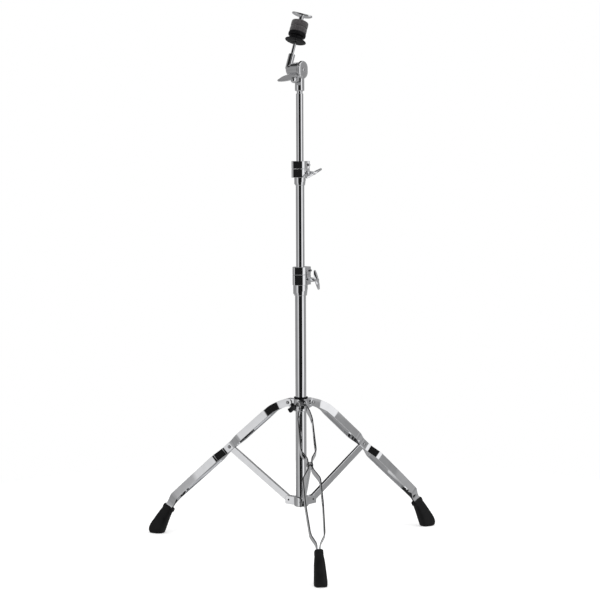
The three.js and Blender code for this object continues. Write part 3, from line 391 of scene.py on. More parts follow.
def newTree(name, inputs):
    tree = bpy.data.node_groups.new(name, "GeometryNodeTree")
    tree.interface.new_socket("Geometry", in_out="OUTPUT", socket_type="NodeSocketGeometry")
    for label, kind in {"Geometry": "Geometry", **inputs}.items():
        tree.interface.new_socket(label, in_out="INPUT", socket_type="NodeSocket" + kind)
    graph = Tree(tree)
    return graph, graph.add("NodeGroupInput").outputs


def finishTree(graph, geometry, finish):
    real = graph.add("GeometryNodeRealizeInstances", {"Geometry": geometry})
    coated = graph.add("GeometryNodeSetMaterial", {"Geometry": real.outputs[0], "Material": finish})
    graph.add("NodeGroupOutput", {"Geometry": coated.outputs[0]})
    return graph.tree


def wallTree():  # a wall of rounded section carried round a circle
    graph, given = newTree("walledRound", {
        "Outer Radius": "Float", "Wall": "Float", "Bottom": "Float", "Top": "Float", "Edge Round": "Float",
        "Sides": "Int", "Finish": "Material"})
    middle = graph.maths("SUBTRACT", given["Outer Radius"], graph.maths("MULTIPLY", given["Wall"], 0.5))
    circle = graph.add("GeometryNodeCurvePrimitiveCircle", {"Resolution": given["Sides"], "Radius": middle})
    wall = graph.add("GeometryNodeCurvePrimitiveQuadrilateral", {
        "Width": given["Wall"], "Height": graph.maths("SUBTRACT", given["Top"], given["Bottom"])})
    fillet = graph.add("GeometryNodeFilletCurve", {
        "Curve": wall.outputs[0], "Radius": given["Edge Round"], "Count": 4, "Limit Radius": True}, mode="POLY")
    swept = graph.add("GeometryNodeCurveToMesh", {"Curve": circle.outputs[0], "Profile Curve": fillet.outputs[0]})
    rise = graph.maths("MULTIPLY", graph.maths("ADD", given["Top"], given["Bottom"]), 0.5)
    lift = graph.add("GeometryNodeTransform", {
        "Geometry": swept.outputs[0], "Translation": graph.add("ShaderNodeCombineXYZ", {"Z": rise}).outputs[0]})
    return finishTree(graph, lift.outputs[0], given["Finish"])


def rivetTree():  # domed rivets on the given points, lying round the tube
    graph, given = newTree("domedRivets", {
        "Head Diameter": "Float", "Head Height": "Float", "Shank Diameter": "Float", "Reach": "Float",
        "Axis": "Vector", "Finish": "Material"})
    spot = graph.add("GeometryNodeInputPosition").outputs[0]
    parts = graph.add("ShaderNodeSeparateXYZ", {"Vector": spot}).outputs
    flat = graph.add("ShaderNodeCombineXYZ", {
        "X": parts["X"], "Y": parts["Y"], "Z": graph.maths("MAXIMUM", parts["Z"], 0.0)})
    ball = graph.add("GeometryNodeMeshUVSphere", {"Segments": 32, "Rings": 16})
    dome = graph.add("GeometryNodeSetPosition", {"Geometry": ball.outputs[0], "Position": flat.outputs[0]})
    radius = graph.maths("MULTIPLY", given["Head Diameter"], 0.5)
    size = graph.add("ShaderNodeCombineXYZ", {"X": radius, "Y": radius, "Z": given["Head Height"]})
    rise = graph.add("ShaderNodeCombineXYZ", {"Z": given["Reach"]})
    head = graph.add("GeometryNodeTransform", {
        "Geometry": dome.outputs[0], "Scale": size.outputs[0], "Translation": rise.outputs[0]})
    tail = graph.add("GeometryNodeTransform", {"Geometry": head.outputs[0], "Rotation": (math.pi, 0, 0)})
    shank = graph.add("GeometryNodeMeshCylinder", {
        "Vertices": 32, "Radius": graph.maths("MULTIPLY", given["Shank Diameter"], 0.5),
        "Depth": graph.maths("MULTIPLY", given["Reach"], 2.0)})
    whole = graph.add("GeometryNodeJoinGeometry")
    for part in (head, tail, shank):
        graph.fill(whole.inputs[0], part.outputs[0])
    outward = graph.add("ShaderNodeVectorMath", {0: spot, 1: given["Axis"]}, operation="SUBTRACT")
    across = graph.add("ShaderNodeVectorMath", {0: outward.outputs[0], 1: (0, 0, 1)}, operation="CROSS_PRODUCT")
    lie = graph.add("FunctionNodeAlignRotationToVector", {"Vector": across.outputs[0]}, axis="Z")
    each = graph.add("GeometryNodeInstanceOnPoints", {
        "Points": given["Geometry"], "Instance": whole.outputs[0], "Rotation": lie.outputs[0]})
    return finishTree(graph, each.outputs[0], given["Finish"])


trees = {"wall": wallTree(), "rivet": rivetTree()}


def grown(tree, values, points=((0, 0, 0),)):  # the tree's result as a plain mesh in metres
    seed = bpy.data.meshes.new("seed")
    seed.from_pydata([tuple(point) for point in points], [], [])
    item = linked(seed)
    modifier = item.modifiers.new("grow", "NODES")
    modifier.node_group = tree
    sockets = {entry.name: entry.identifier for entry in tree.interface.items_tree
               if entry.item_type == "SOCKET" and entry.in_out == "INPUT"}
    for label, value in values.items():
        modifier[sockets[label]] = value
    mesh = evaluated(item)
    item.modifiers.remove(modifier)
    bpy.data.objects.remove(item)
    return mesh


# ---- tubes

tubes = {
    "baseTube": {"node": "base_tube", "wall": 1.2, "round": 0.4},
    "middleTube": {"node": "middle_tube", "wall": 1.0, "round": 0.4},
    "upperTube": {"node": "upper_tube", "wall": 1.2, "round": 0.55},
}


def makeTubes():
    for name, tube in tubes.items():
        low, high = (Vector(corner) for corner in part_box(tube["node"]))
        mesh = grown(trees["wall"], {
            "Outer Radius": (high.x - low.x) / 2, "Wall": tube["wall"] * mm, "Bottom": low.z, "Top": high.z,
            "Edge Round": tube["round"] * mm, "Sides": fineRound, "Finish": finishes["tubeChrome"]})
        piece(name, mesh, Matrix.Translation(axis), "tubeChrome", [tube["node"]])


makeTubes()
print("tubes made")


# ---- lower collar and leg hub

linkRadius = 33  # the linkage's pivots
collarPivot = 121
hubPivot = 377
stayPivot = (205, 249)
earRadius = 10.5
earRoot = 8  # the ears start inside the castings

collar = {"diameter": 38, "lip": 3, "round": 1.2, "bore": 29.2, "drain": 23.8, "tubeSeat": 109.7, "pivotRoom": 9.6,
          "earThickness": 3, "earBevel": 0.7, "earRound": 2.4, "earCorners": [(9.6, -10.9), (9.9, 3), (6.8, 10.5)]}
hub = {"diameter": 37, "bore": 32.6, "round": 1.0, "foot": 2, "rim": 1, "tongue": 15.1, "ear": 3.2, "bevel": 0.7,
       "boltTurn": -60, "boltHeight": 366, "bossRadius": 8, "bossReach": 20.7}
flange = {"inner": 14.6, "outer": 16.0, "rim": 18.5, "height": 4.3, "slope": 1.2, "lip": 1.5, "round": 0.5,
          "dishInset": 1, "dishHeight": 2}


def earForm(end, reach, top, bottom, bevel):  # the end's outline runs from its bottom to its top
    return moved(prism([(earRoot, bottom), *end, (earRoot, top)], -reach, reach, bevel), sideView)


def aroundLegs(makeOne):  # one form for each leg
    return [moved(makeOne(), spun(legAngle * i)) for i in range(legCount)]


def makeCollar():
    low, high = heightOf("stay_collar")
    radius, lip = collar["diameter"] / 2, collar["lip"]
    body = lathed([(radius - lip, low), (radius, low + lip), (radius, high - lip), (radius - lip / 2, high)],
                  collar["round"], closed=True)
    half = collar["pivotRoom"] / 2
    corners = [(linkRadius + out, collarPivot + up) for out, up in collar["earCorners"]]
    tip = softened([(earRoot, low + lip), *corners, (earRoot, high - lip)], collar["earRound"], 6, closed=False)[1:-1]
    ears = aroundLegs(lambda: earForm(tip, half + collar["earThickness"], high - lip, low + lip, collar["earBevel"]))
    gaps = aroundLegs(lambda: block((-half, -farCut, low - overrun), (half, -radius - clearance, high + overrun)))
    socket = upright(collar["tubeSeat"], high + overrun, collar["bore"])
    drain = upright(low - overrun, high, collar["drain"])
    piece("lowerCollar", shaped([body] + ears, gaps + [socket, drain]), placed(), "chrome", ["stay_collar"])


def makeHub():
    low, high = heightOf("leg_hub")
    radius, foot, rim = hub["diameter"] / 2, hub["foot"], hub["rim"]
    body = lathed([(radius - rim, low), (radius, low + foot), (radius, high - rim), (radius - rim, high)],
                  hub["round"], closed=True)
    reach = hub["tongue"] / 2
    room = reach - hub["ear"]
    tip = arc(linkRadius, hubPivot, earRadius, -90, 90, 28)
    tongues = aroundLegs(lambda: earForm(tip, reach, high - rim, low + foot, hub["bevel"]))
    splits = aroundLegs(lambda: block((-room, -farCut, low - overrun), (room, -radius - hub["ear"], high + overrun)))
    boss = moved(upright(0, hub["bossReach"], 2 * hub["bossRadius"], pinRound),
                 spun(hub["boltTurn"]) @ shifted(z=hub["boltHeight"]) @ alongY)
    bore = upright(low - overrun, high + overrun, hub["bore"])
    piece("legHub", shaped([body] + tongues + [boss], splits + [bore]), placed(), "chrome", ["leg_hub"])

    inner, outer, edge, top = flange["inner"], flange["outer"], flange["rim"], high + flange["height"]
    bushing = [(inner, low), (outer, low), (outer, high + clearance), (edge - flange["slope"], high + clearance),
               (edge, top), (edge - flange["lip"], top), (inner + flange["dishInset"], high + flange["dishHeight"])]
    piece("hubBushing", revolved(softened(bushing, flange["round"]), closed=True), placed(), "nylon", ["hub_bushing"])


rivets = {
    "collarPins": {"node": "collar_pin_{}", "legs": (1, 2, 3), "at": (linkRadius, collarPivot), "reach": 7.7,
                   "head": 5, "rise": 0.7, "shank": 4.6, "finish": "darkSteel"},
    "hubPins": {"node": "hub_pin_{}", "legs": (1, 2, 3), "at": (linkRadius, hubPivot), "reach": 11.15,
                "head": 9, "rise": 1.8, "shank": 6, "finish": "brightSteel"},
}
for leg in range(1, legCount + 1):
    rivets[f"legRivet{leg}"] = {"node": "leg_{}_rivet", "legs": (leg,), "at": stayPivot, "reach": 6.9,
                                "head": 9.5, "rise": 1.9, "shank": 6, "finish": "brightSteel"}


def makeRivets():
    for name, rivet in rivets.items():
        out, up = rivet["at"]
        points = [axis + spun(legAngle * (leg - 1)) @ Vector((0, -out, up)) * mm for leg in rivet["legs"]]
        mesh = grown(trees["rivet"], {
            "Head Diameter": rivet["head"] * mm, "Head Height": rivet["rise"] * mm, "Reach": rivet["reach"] * mm,
            "Shank Diameter": rivet["shank"] * mm, "Axis": tuple(axis), "Finish": finishes[rivet["finish"]]}, points)
        piece(name, mesh, Matrix.Identity(4), rivet["finish"], [rivet["node"].format(leg) for leg in rivet["legs"]])


makeCollar()
makeHub()
makeRivets()
print("collar, hub and rivets made")


# ---- legs

legPlaces = [(i + 1, placed(legAngle * i)) for i in range(legCount)]
across = Vector((1, 0, 0))


def sideways(out, up):  # a point in a leg's side view
    return Vector((0, -out, up))


strip = {"height": 20, "thickness": 3, "round": 0.7, "least": 0.6, "leanStep": 0.5, "bendRound": 6.5}
legLine = {"knee": (80, 357.5), "ankle": (368, 106), "bootTop": (390, 75), "bootDrop": 59.5, "inBoot": 52}
bow = {  # radius: distance between the strips' middles
    0: 18.7, 33: 18.7, 61: 18.7, 95: 36.6, 175: 38.2, 194.5: 10.2, 218: 10.2, 241: 43.4, 300: 43.4, 368: 34.6,
    383: 7.2, 800: 7.2}
bowLine = softened(sorted(bow.items()), strip["bendRound"], 12, closed=False)  # straight runs with short bends
drop = math.radians(legLine["bootDrop"])
bootAxis = sideways(math.cos(drop), -math.sin(drop))
bootTop = sideways(*legLine["bootTop"])


def bowAt(radius):
    for start, end in zip(bowLine, bowLine[1:]):
        if radius < end.x:
            return (start.y + (end.y - start.y) * (radius - start.x) / (end.x - start.x)) / 2
    return bowLine[-1].y / 2


def curved(start, handle, end, steps):
    return [(1 - t) ** 2 * start + 2 * t * (1 - t) * handle + t * t * end
            for t in (k / steps for k in range(steps + 1))]


def legPath():  # middle line of a strip in side view, from the hub's pin into the boot
    hubEnd, knee = sideways(linkRadius, hubPivot), sideways(*legLine["knee"])
    pivot, ankle = sideways(*stayPivot), sideways(*legLine["ankle"])
    kneeHandle = Vector((0, (hubEnd.y + knee.y) / 2, hubPivot - (hubPivot - knee.z) / 4))
    footHandle = bootTop - bootAxis * (ankle.z - bootTop.z) / 2
    foot = bootAxis * legLine["inBoot"]
    path = [hubEnd]
    for start, handle, end, steps in (
            (hubEnd, kneeHandle, knee, 16), (knee, (knee + pivot) / 2, pivot, 90),
            (pivot, (pivot + ankle) / 2, ankle, 110), (ankle, footHandle, bootTop, 16),
            (bootTop, bootTop + foot / 2, bootTop + foot, 4)):
        path += curved(start, handle, end, steps)[1:]
    return path


def stripForm(side):
    path = legPath()
    end, wide = strip["height"] / 2, strip["thickness"] / 2
    lead = [path[0] - (path[1] - path[0]).normalized() * end * math.cos(math.radians(a)) for a in range(0, 90, 9)]
    line = lead + path
    step = strip["leanStep"]
    rings = []
    for i, point in enumerate(line):
        along = (line[min(i + 1, len(line) - 1)] - line[max(i - 1, 0)]).normalized()
        up = along.cross(across).normalized()
        reach = (point - path[0]).length if i < len(lead) else 0
        high = max(math.sqrt(max(end * end - reach * reach, 0)), strip["least"])
        lean = side * (bowAt(-point.y + step) - bowAt(-point.y - step)) / (2 * step)  # the strip turns with its bow
        normal = (across - along * lean).normalized()
        middle = point + across * side * bowAt(-point.y)
        section = softened([(wide, high), (-wide, high), (-wide, -high), (wide, -high)],
                           min(strip["round"], high / 2), 2)
        rings.append([middle + up * y + normal * x for x, y in section])
    return skinned(rings)


def makeLegs():
    for leg, place in legPlaces:
        for side, word in ((-1, "left"), (1, "right")):
            piece(f"leg{leg}{word.capitalize()}Strip", stripForm(side), place, "chrome", [f"leg_{leg}_{word}_strip"])


# ---- stays

stay = {"height": 17, "sheet": 1.5, "collarWidth": 9, "legWidth": 6.6, "overlap": 0.06, "skin": 0.01,
        "radii": (0.3, 0.3, 0.5, 0.5, 0.3, 0.3, 1.6, 1.6)}  # at the lips, inside and at the bend


def stayForm():
    start, end = sideways(linkRadius, collarPivot), sideways(*stayPivot)
    along = (end - start).normalized()
    up = along.cross(across).normalized()
    if up.z < 0:
        up.negate()
    half, extra = stay["height"] / 2, stay["overlap"]
    rings = []
    for share, width in ((-extra, stay["collarWidth"]), (0.5, stay["collarWidth"]), (1 + extra, stay["legWidth"])):
        outer, roof = width / 2, half - stay["sheet"]
        inner = outer - stay["sheet"]
        outline = [(-outer, -half), (-inner, -half), (-inner, roof), (inner, roof), (inner, -half), (outer, -half),
                   (outer, half), (-outer, half)]
        corners = []
        for k, (corner, radius) in enumerate(zip(outline, stay["radii"])):
            near = [outline[k - 1], corner, outline[(k + 1) % len(outline)]]
            corners += softened(near, radius, closed=False)[1:-1]
        rings.append([start.lerp(end, share) + across * x + up * y for x, y in corners])
    length = (end - start).length
    rounded = half + stay["skin"]
    keep = prism([*arc(0, 0, rounded, 90, 270, 32), *arc(length, 0, rounded, -90, 90, 32)], -half, half)
    rise = math.degrees(math.atan2(end.z - start.z, start.y - end.y))
    keep.transform(Matrix.Translation(start) @ spun(-rise, "X") @ sideView)
    return shaped([skinned(rings)], keeps=[keep])


def makeStays():
    for leg, place in legPlaces:
        piece(f"stay{leg}", stayForm(), place, "chrome", [f"stay_{leg}"])


# ---- boots

boot = {"length": 93, "depth": 47, "width": 34, "sides": 56, "pocketReach": 5.3, "pocketRise": 10.3, "squareness": 0.7,
        "bodyRows": 44, "bodyShare": 0.865}
bootShares = [  # along, inner side, outer side, half width
    (0, 0.335, 0.32, 0.295), (0.008, 0.352, 0.337, 0.312), (0.02, 0.36, 0.345, 0.32), (0.092, 0.36, 0.345, 0.325),
    (0.1, 0.345, 0.34, 0.323), (0.11, 0.318, 0.327, 0.319), (0.125, 0.314, 0.327, 0.32), (0.35, 0.35, 0.39, 0.395),
    (0.62, 0.43, 0.455, 0.44), (0.72, 0.455, 0.48, 0.457), (0.81, 0.475, 0.48, 0.47), (0.885, 0.485, 0.46, 0.468),
    (0.95, 0.49, 0.41, 0.445), (0.99, 0.49, 0.32, 0.39), (1, 0.49, 0.26, 0.36)]
mouthRows = [0, 0.005, 0.01, 0.018, 0.028, 0.05, 0.07, 0.085, 0.092, 0.1, 0.106, 0.112, 0.118, 0.125]
toeRows = [0.995, 1.0]


def eased(values, place):  # smooth run through a table's rows
    for i in range(len(values) - 1):
        if place <= values[i + 1][0]:
            first = values[max(i - 1, 0)]
            start, end = values[i], values[i + 1]
            last = values[min(i + 2, len(values) - 1)]
            span = end[0] - start[0]
            t = (place - start[0]) / span
            result = []
            for k in range(1, len(start)):
                slopeStart = (end[k] - first[k]) / (end[0] - first[0]) * span if end[0] > first[0] else 0
                slopeEnd = (last[k] - start[k]) / (last[0] - start[0]) * span
                result.append((2 * t ** 3 - 3 * t * t + 1) * start[k] + (t ** 3 - 2 * t * t + t) * slopeStart
                              + (3 * t * t - 2 * t ** 3) * end[k] + (t ** 3 - t * t) * slopeEnd)
            return result
    return list(values[-1][1:])


def bootForm():
    outward = across.cross(bootAxis).normalized()
    if outward.y > 0:
        outward.negate()
    rows = boot["bodyRows"]
    body = [mouthRows[-1] + boot["bodyShare"] * k / rows for k in range(1, rows + 1)]

    def squared(value):
        return math.copysign(abs(value) ** boot["squareness"], value)

    rings = []
    for along in mouthRows + body + toeRows:
        inner, outer, half = eased(bootShares, along)
        middle = bootTop + bootAxis * along * boot["length"]
        depth = boot["depth"] * (outer + inner) / 2
        shift = boot["depth"] * (outer - inner) / 2
        ring = []
        for j in range(boot["sides"]):
            angle = 2 * math.pi * j / boot["sides"]
            point = (middle + outward * (shift + depth * squared(math.cos(angle)))
                     + across * (boot["width"] * half * squared(math.sin(angle))))
            point.z = max(point.z, 0)
            ring.append(point)
        rings.append(ring)
    ends = (bootTop - bootAxis * overrun, bootTop + bootAxis * (legLine["inBoot"] + clearance))
    pocket = skinned([[end + across * a * boot["pocketReach"] + outward * b * boot["pocketRise"]
                       for a, b in ((-1, -1), (1, -1), (1, 1), (-1, 1))] for end in ends])
    return shaped([skinned(rings)], [pocket])


def makeBoots():
    for leg, place in legPlaces:
        piece(f"boot{leg}", bootForm(), place, "rubber", [f"boot_{leg}"], 50)


makeLegs()
makeStays()
makeBoots()
print("legs, stays and boots made")


# ---- wings of the locking bolts

wingShare = {"bevel": 1.4, "bossRound": 1.2, "boss": [(1, 0), (0.97, 0.2), (0.6, 1)]}


def wingForm(span, depth, thickness, roll, start, length, bossDiameter):  # stands towards -Y from a bolt along Y
    half, tip = span / 2, thickness / 2

    def curve(*points):
        return curved(*[Vector(point) for point in points], 10)[1:]

    right = [(0, 0), *curve((0, 0), (half / 2, 0), (half - tip, -depth / 3)),
             *arc(half - tip, -depth / 3 - tip, tip, 90, -90, 14)[1:],
             *curve((half - tip, -depth / 3 - 2 * tip), (half / 2, -depth - tip / 2), (0, -depth))]
    left = [(-x, y) for x, y in reversed(right[1:-1])]
    leaves = moved(prism(right + left, -tip, tip, wingShare["bevel"], 4),
                   shifted(y=depth - start - length) @ spun(roll - 90, "Y"))
    boss = lathed([(wide * bossDiameter / 2, far * length) for wide, far in wingShare["boss"]],
                  wingShare["bossRound"], smallRound)
    return leaves, moved(boss, shifted(y=-start) @ alongY)


hubBolt = {"span": 27, "depth": 8, "thickness": 11, "roll": 40, "length": 9, "boss": 13, "shaft": 6, "from": 16.6,
           "to": 25}


def makeHubBolt():
    leaves, boss = wingForm(hubBolt["span"], hubBolt["depth"], hubBolt["thickness"], hubBolt["roll"],
                            hub["bossReach"] + clearance, hubBolt["length"], hubBolt["boss"])
    shaft = rod((0, -hubBolt["from"], 0), (0, -hubBolt["to"], 0), hubBolt["shaft"] / 2)
    piece("hubWingBolt", shaped([leaves, boss, shaft]), placed(hub["boltTurn"], (0, 0, hub["boltHeight"])),
          "darkSteel", ["hub_wing_bolt"])


makeHubBolt()


# ---- height clamps

clamps = {
    "lower": {"bottom": 656, "bodyBottom": 683, "split": 710, "top": 730, "body": 40.8, "skirt": 37.6, "mouth": 33,
              "reach": 33, "width": 19, "boltOffset": 23, "turn": 45, "wingRoll": -19, "fixed": 28.6, "sliding": 22.2,
              "wall": 1.2, "insert": 45},
    "upper": {"bottom": 939.6, "bodyBottom": 959.5, "split": 982, "top": 1002, "body": 39, "skirt": 29.5,
              "mouth": 25.6, "reach": 26, "width": 17, "boltOffset": 18.5, "turn": 29, "wingRoll": 65, "fixed": 22.2,
              "sliding": 19.05, "wall": 1, "insert": 0},
}
clampShare = {"slit": 3, "tilt": 17, "corner": 2.5, "bevel": 1.1, "bolt": 7, "wingSpan": 54, "wingDepth": 11,
              "backCorner": 6, "wingThickness": 5, "boss": 13, "wingReach": 40, "nut": 12, "nutHeight": 6,
              "round": 0.8, "slantRise": 0.38, "waistDrop": 0.55, "mouthInset": 0.75, "bushingRound": 0.3}
lockScrew = {"shank": 4.5, "head": 8, "headReach": 4.5, "keyReach": 8.5, "keyBevel": 0.5, "sink": 0.15}


def lugPlan(radius, reach, width):  # round about the tube, a lug towards +X, a rounded corner opposite
    half = width / 2
    start = math.degrees(math.asin(half / radius))
    corner, back = clampShare["corner"], clampShare["backCorner"]
    return [*arc(0, 0, radius, start, 135, 32), *arc(math.sqrt(2) * (back - radius), 0, back, 135, 225, 14),
            *arc(0, 0, radius, 225, 360 - start, 32), *arc(reach - corner, corner - half, corner, -90, 0, 8),
            *arc(reach - corner, half - corner, corner, 0, 90, 8)]


def hexagon(across):
    return arc(0, 0, across / math.sqrt(3), 0, 300, 5)


def lugForm(clamp, bottom, top):
    return prism(lugPlan(clamp["body"] / 2, clamp["reach"], clamp["width"]), bottom, top, clampShare["bevel"])


def lugSlit(clamp, bottom):
    half = clampShare["slit"] / 2
    return block((0, -half, bottom), (2 * clamp["reach"], half, clamp["top"] + overrun))


def makeCasting(name, clamp, bodyTop, boltHeight):
    bottom, bodyBottom, offset = clamp["bottom"], clamp["bodyBottom"], clamp["boltOffset"]
    half, tall, far = clamp["width"] / 2, bodyBottom - bottom, 2 * clamp["reach"]
    skirt, mouth, round = clamp["skirt"] / 2, clamp["mouth"] / 2, clampShare["round"]
    waist = skirt - (skirt - mouth) / 3
    inside = bodyBottom + clampShare["bevel"]
    socket = lathed([(mouth - clampShare["mouthInset"] * round, bottom), (mouth, bottom + round),
                     (waist, bodyBottom - clampShare["waistDrop"] * tall), (waist, inside)], round)
    slant = moved(block((-far, -far, -far), (far, far, 0)), shifted(z=bottom + clampShare["slantRise"] * tall)
                  @ spun(-clamp["turn"]) @ spun(-clampShare["tilt"], "Y"))
    sleeve = shaped([upright(bottom, inside, 2 * skirt)], [slant])
    body, slit = lugForm(clamp, bodyBottom, bodyTop), lugSlit(clamp, bodyBottom - clampShare["slit"])
    boltHole = rod((offset, -far, boltHeight), (offset, far, boltHeight), clampShare["bolt"] / 2 + clearance)
    face = rod((offset, -half, boltHeight), (offset, -far, boltHeight), clampShare["boss"] / 2 + clearance)
    nutPocket = moved(prism(hexagon(clampShare["nut"] + 2 * clearance), -far, -half + clampShare["nutHeight"] / 2),
                      shifted(offset, 0, boltHeight) @ alongY)
    bore = upright(bottom - overrun, clamp["top"], clamp["fixed"] + 2 * clearance)
    piece(f"{name}Clamp", shaped([body, socket, sleeve], [bore, slit, boltHole, nutPocket, face]),
          placed(clamp["turn"]), "chrome", [f"{name}_clamp"])


def makeBushing(name, clamp, bodyTop):
    inner, fixed = clamp["sliding"] / 2 + clearance, clamp["fixed"] / 2
    seat = heightOf("base_tube" if name == "lower" else "middle_tube")[1] + clearance
    collet = [(inner, seat), (fixed, seat), (fixed, bodyTop), (inner, bodyTop)]
    if clamp["insert"]:
        plug = fixed - clamp["wall"] - clearance
        collet = [(inner, seat - clamp["insert"]), (plug, seat - clamp["insert"]), (plug, seat), *collet[1:]]
    mesh = revolved(softened(collet, clampShare["bushingRound"], 2), closed=True)
    piece(f"{name}Bushing", mesh, placed(clamp["turn"]), "nylon", [f"{name}_bushing"])


def makeLock(name, clamp, lockBottom, lockHeight):
    half, far, offset = clamp["width"] / 2, 2 * clamp["reach"], clamp["boltOffset"]
    screw, head = lockScrew["shank"] / 2, lockScrew["head"] / 2
    lock, slit = lugForm(clamp, lockBottom, clamp["top"]), lugSlit(clamp, clamp["bodyBottom"])
    bore = upright(clamp["bottom"], clamp["top"] + overrun, clamp["sliding"] + 2 * clearance)
    floor = half - screw
    pocket = rod((offset, -far, lockHeight), (offset, -floor, lockHeight), head + clearance)
    piece(f"{name}MemoryLock", shaped([lock], [bore, slit, pocket]), placed(clamp["turn"]), "chrome",
          [f"{name}_memory_lock"])

    shank = rod((0, half, 0), (0, -half, 0), screw)
    headTop = half + lockScrew["headReach"]
    drum = moved(upright(floor + clearance, headTop, lockScrew["head"], pinRound), alongY)
    key = head / math.sqrt(3)
    square = moved(prism([(-key, -key), (key, -key), (key, key), (-key, key)], headTop, half + lockScrew["keyReach"],
                         lockScrew["keyBevel"]), alongY)
    piece(f"{name}LockScrew", shaped([drum, shank, square]),
          placed(clamp["turn"], (offset, -lockScrew["sink"], lockHeight)), "brightSteel", [f"{name}_lock_screw"])


def makeWingBolt(name, clamp, boltHeight):
    half = clamp["width"] / 2
    leaves, boss = wingForm(clampShare["wingSpan"], clampShare["wingDepth"], clampShare["wingThickness"],
                            clamp["wingRoll"], half + clearance, clampShare["wingReach"] - half, clampShare["boss"])
    bolt = rod((0, half + clampShare["nutHeight"], 0), (0, -half - overrun, 0), clampShare["bolt"] / 2)
    piece(f"{name}WingBolt", shaped([leaves, boss, bolt]),
          placed(clamp["turn"], (clamp["boltOffset"], 0, boltHeight)), "chrome", [f"{name}_wing_bolt"])


for name, clamp in clamps.items():
    bodyTop, lockBottom = clamp["split"] - clearance / 2, clamp["split"] + clearance / 2
    boltHeight = (clamp["bodyBottom"] + bodyTop) / 2
    makeCasting(name, clamp, bodyTop, boltHeight)
    makeBushing(name, clamp, bodyTop)
    makeLock(name, clamp, lockBottom, (lockBottom + clamp["top"]) / 2)
    makeWingBolt(name, clamp, boltHeight)
print("clamps made")


# ---- tilter

tilter = {"turn": 42, "height": 1234, "lean": 21, "drum": 39, "bore": 25.6, "right": 8, "left": 18.5, "headHeight": 46,
          "headWidth": 36, "headThickness": 6.5, "neck": 24, "neckBottom": 1181, "neckTop": 1195, "spigot": 15,
          "plug": 16.05, "insert": 28, "gusset": 5, "jawWidth": 16, "jawThickness": 7.5, "jawSlit": 3,
          "jawOffset": 9.5, "leverHeight": 1208, "bolt": 6, "boltHole": 6.6, "screwSeat": 12.6, "round": 0.8,
          "shoulder": 1, "slitOuter": 0.4, "slitInner": 0.06}
headCrown = [(0, -4.3), (0.25, -2.9), (0.9, -1.8), (2, -0.9), (3.6, -0.3), (6, 0.15), (9, 0.42), (11.5, 0.5)]
jawSide = 24  # half the room that the jaw's cuts need


def makeHousing():
    high, round = tilter["height"], tilter["round"]
    tubeTop = heightOf("upper_tube")[1]
    neck, drum, bore = tilter["neck"] / 2, tilter["drum"] / 2, tilter["bore"] / 2
    plug, stem = tilter["plug"] / 2, tilter["spigot"] / 2
    neckBottom, neckTop, head = tilter["neckBottom"], tilter["neckTop"], tilter["headThickness"]
    step = tilter["shoulder"]
    spigot = lathed([
        (plug, tubeTop - tilter["insert"]), (plug, tubeTop), (stem, tubeTop + clearance), (stem, neckBottom - step),
        (neck - step, neckBottom), (neck, neckBottom + step), (neck, high - bore)], round)
    jawFace = -tilter["jawOffset"] - tilter["jawThickness"]
    jawInner = -tilter["jawOffset"] + tilter["jawSlit"]
    openSide = block((-jawSide, -jawSide, neckTop), (jawInner, jawSide, high))
    drumForm = moved(upright(-tilter["left"], tilter["right"], 2 * drum, fineRound), shifted(z=high) @ alongY)
    half = tilter["jawWidth"] / 2
    jawPlan = [(-half, high - bore), *arc(0, tilter["leverHeight"], half, 180, 360, 32), (half, high - bore)]
    jaw = moved(prism(jawPlan, 0, tilter["jawThickness"], round), shifted(jawFace) @ faceOn)
    wide, tall = tilter["headWidth"] / 2, tilter["headHeight"] / 2
    crown = skinned([[(x, y, height) for x, y in arc(0, tall - wide, wide - inset, 0, 180, 40)
                      + arc(0, wide - tall, wide - inset, 180, 360, 40)]
                     for inset, height in [(0, 0)] + [(inset, head + rise) for inset, rise in headCrown]])
    crown.transform(shifted(0, -tilter["right"], high) @ alongY)
    rise = curved(Vector((neck, neckBottom + step)), Vector((neck + step, neckTop)),
                  Vector((tilter["right"] + head - step, high - drum)), 12)
    gusset = moved(prism([(0, neckBottom), *rise, (0, high - bore)], -tilter["gusset"] / 2, tilter["gusset"] / 2),
                   sideView)
    slit = block((-tilter["jawOffset"] - tilter["slitOuter"], -jawSide, neckTop),
                 (jawInner - tilter["slitInner"], jawSide, high - bore / 2))
    middle = -tilter["right"] + head / 2
    inside = rod((0, middle, high), (0, tilter["left"] + overrun, high), bore, plainRound)
    seat = rod((0, -farCut / 2, high), (0, -tilter["right"] - head / 2, high), tilter["screwSeat"] / 2)
    boltHole = rod((-jawSide, 0, tilter["leverHeight"]), (neck / 2, 0, tilter["leverHeight"]), tilter["boltHole"] / 2)
    mesh = shaped([shaped([spigot], [openSide]), shaped([drumForm, jaw], [slit]), crown, gusset],
                  [inside, seat, boltHole])
    piece("tilterHousing", mesh, placed(tilter["turn"]), "chrome", ["tilter_housing"])


arm = {"eyeStart": 18.8, "eyeThickness": 8.2, "eyeDome": 15.8, "eye": 32, "eyeRound": 0.8, "shaft": 18,
       "domeSteps": 40, "domePower": 1.9, "domeRound": 0.6,
       "shaftStart": 4.15, "post": 17, "postOffset": 40.4, "postLength": 45, "rod": 8,
       "footDrop": 0.1, "rim": [(0, 1), (0.3, 0.3), (1, 0)]}  # a share of the post; inset and drop at its top
armPlace = placed(tilter["turn"], (0, 0, tilter["height"])) @ spun(tilter["lean"], "Y")
shaftScrew = {"end": -9, "shank": 3, "head": 6, "socket": 4, "socketRise": 3, "round": 0.4,
              "crown": [(6, 4), (5.4, 5.4), (4, 6)]}


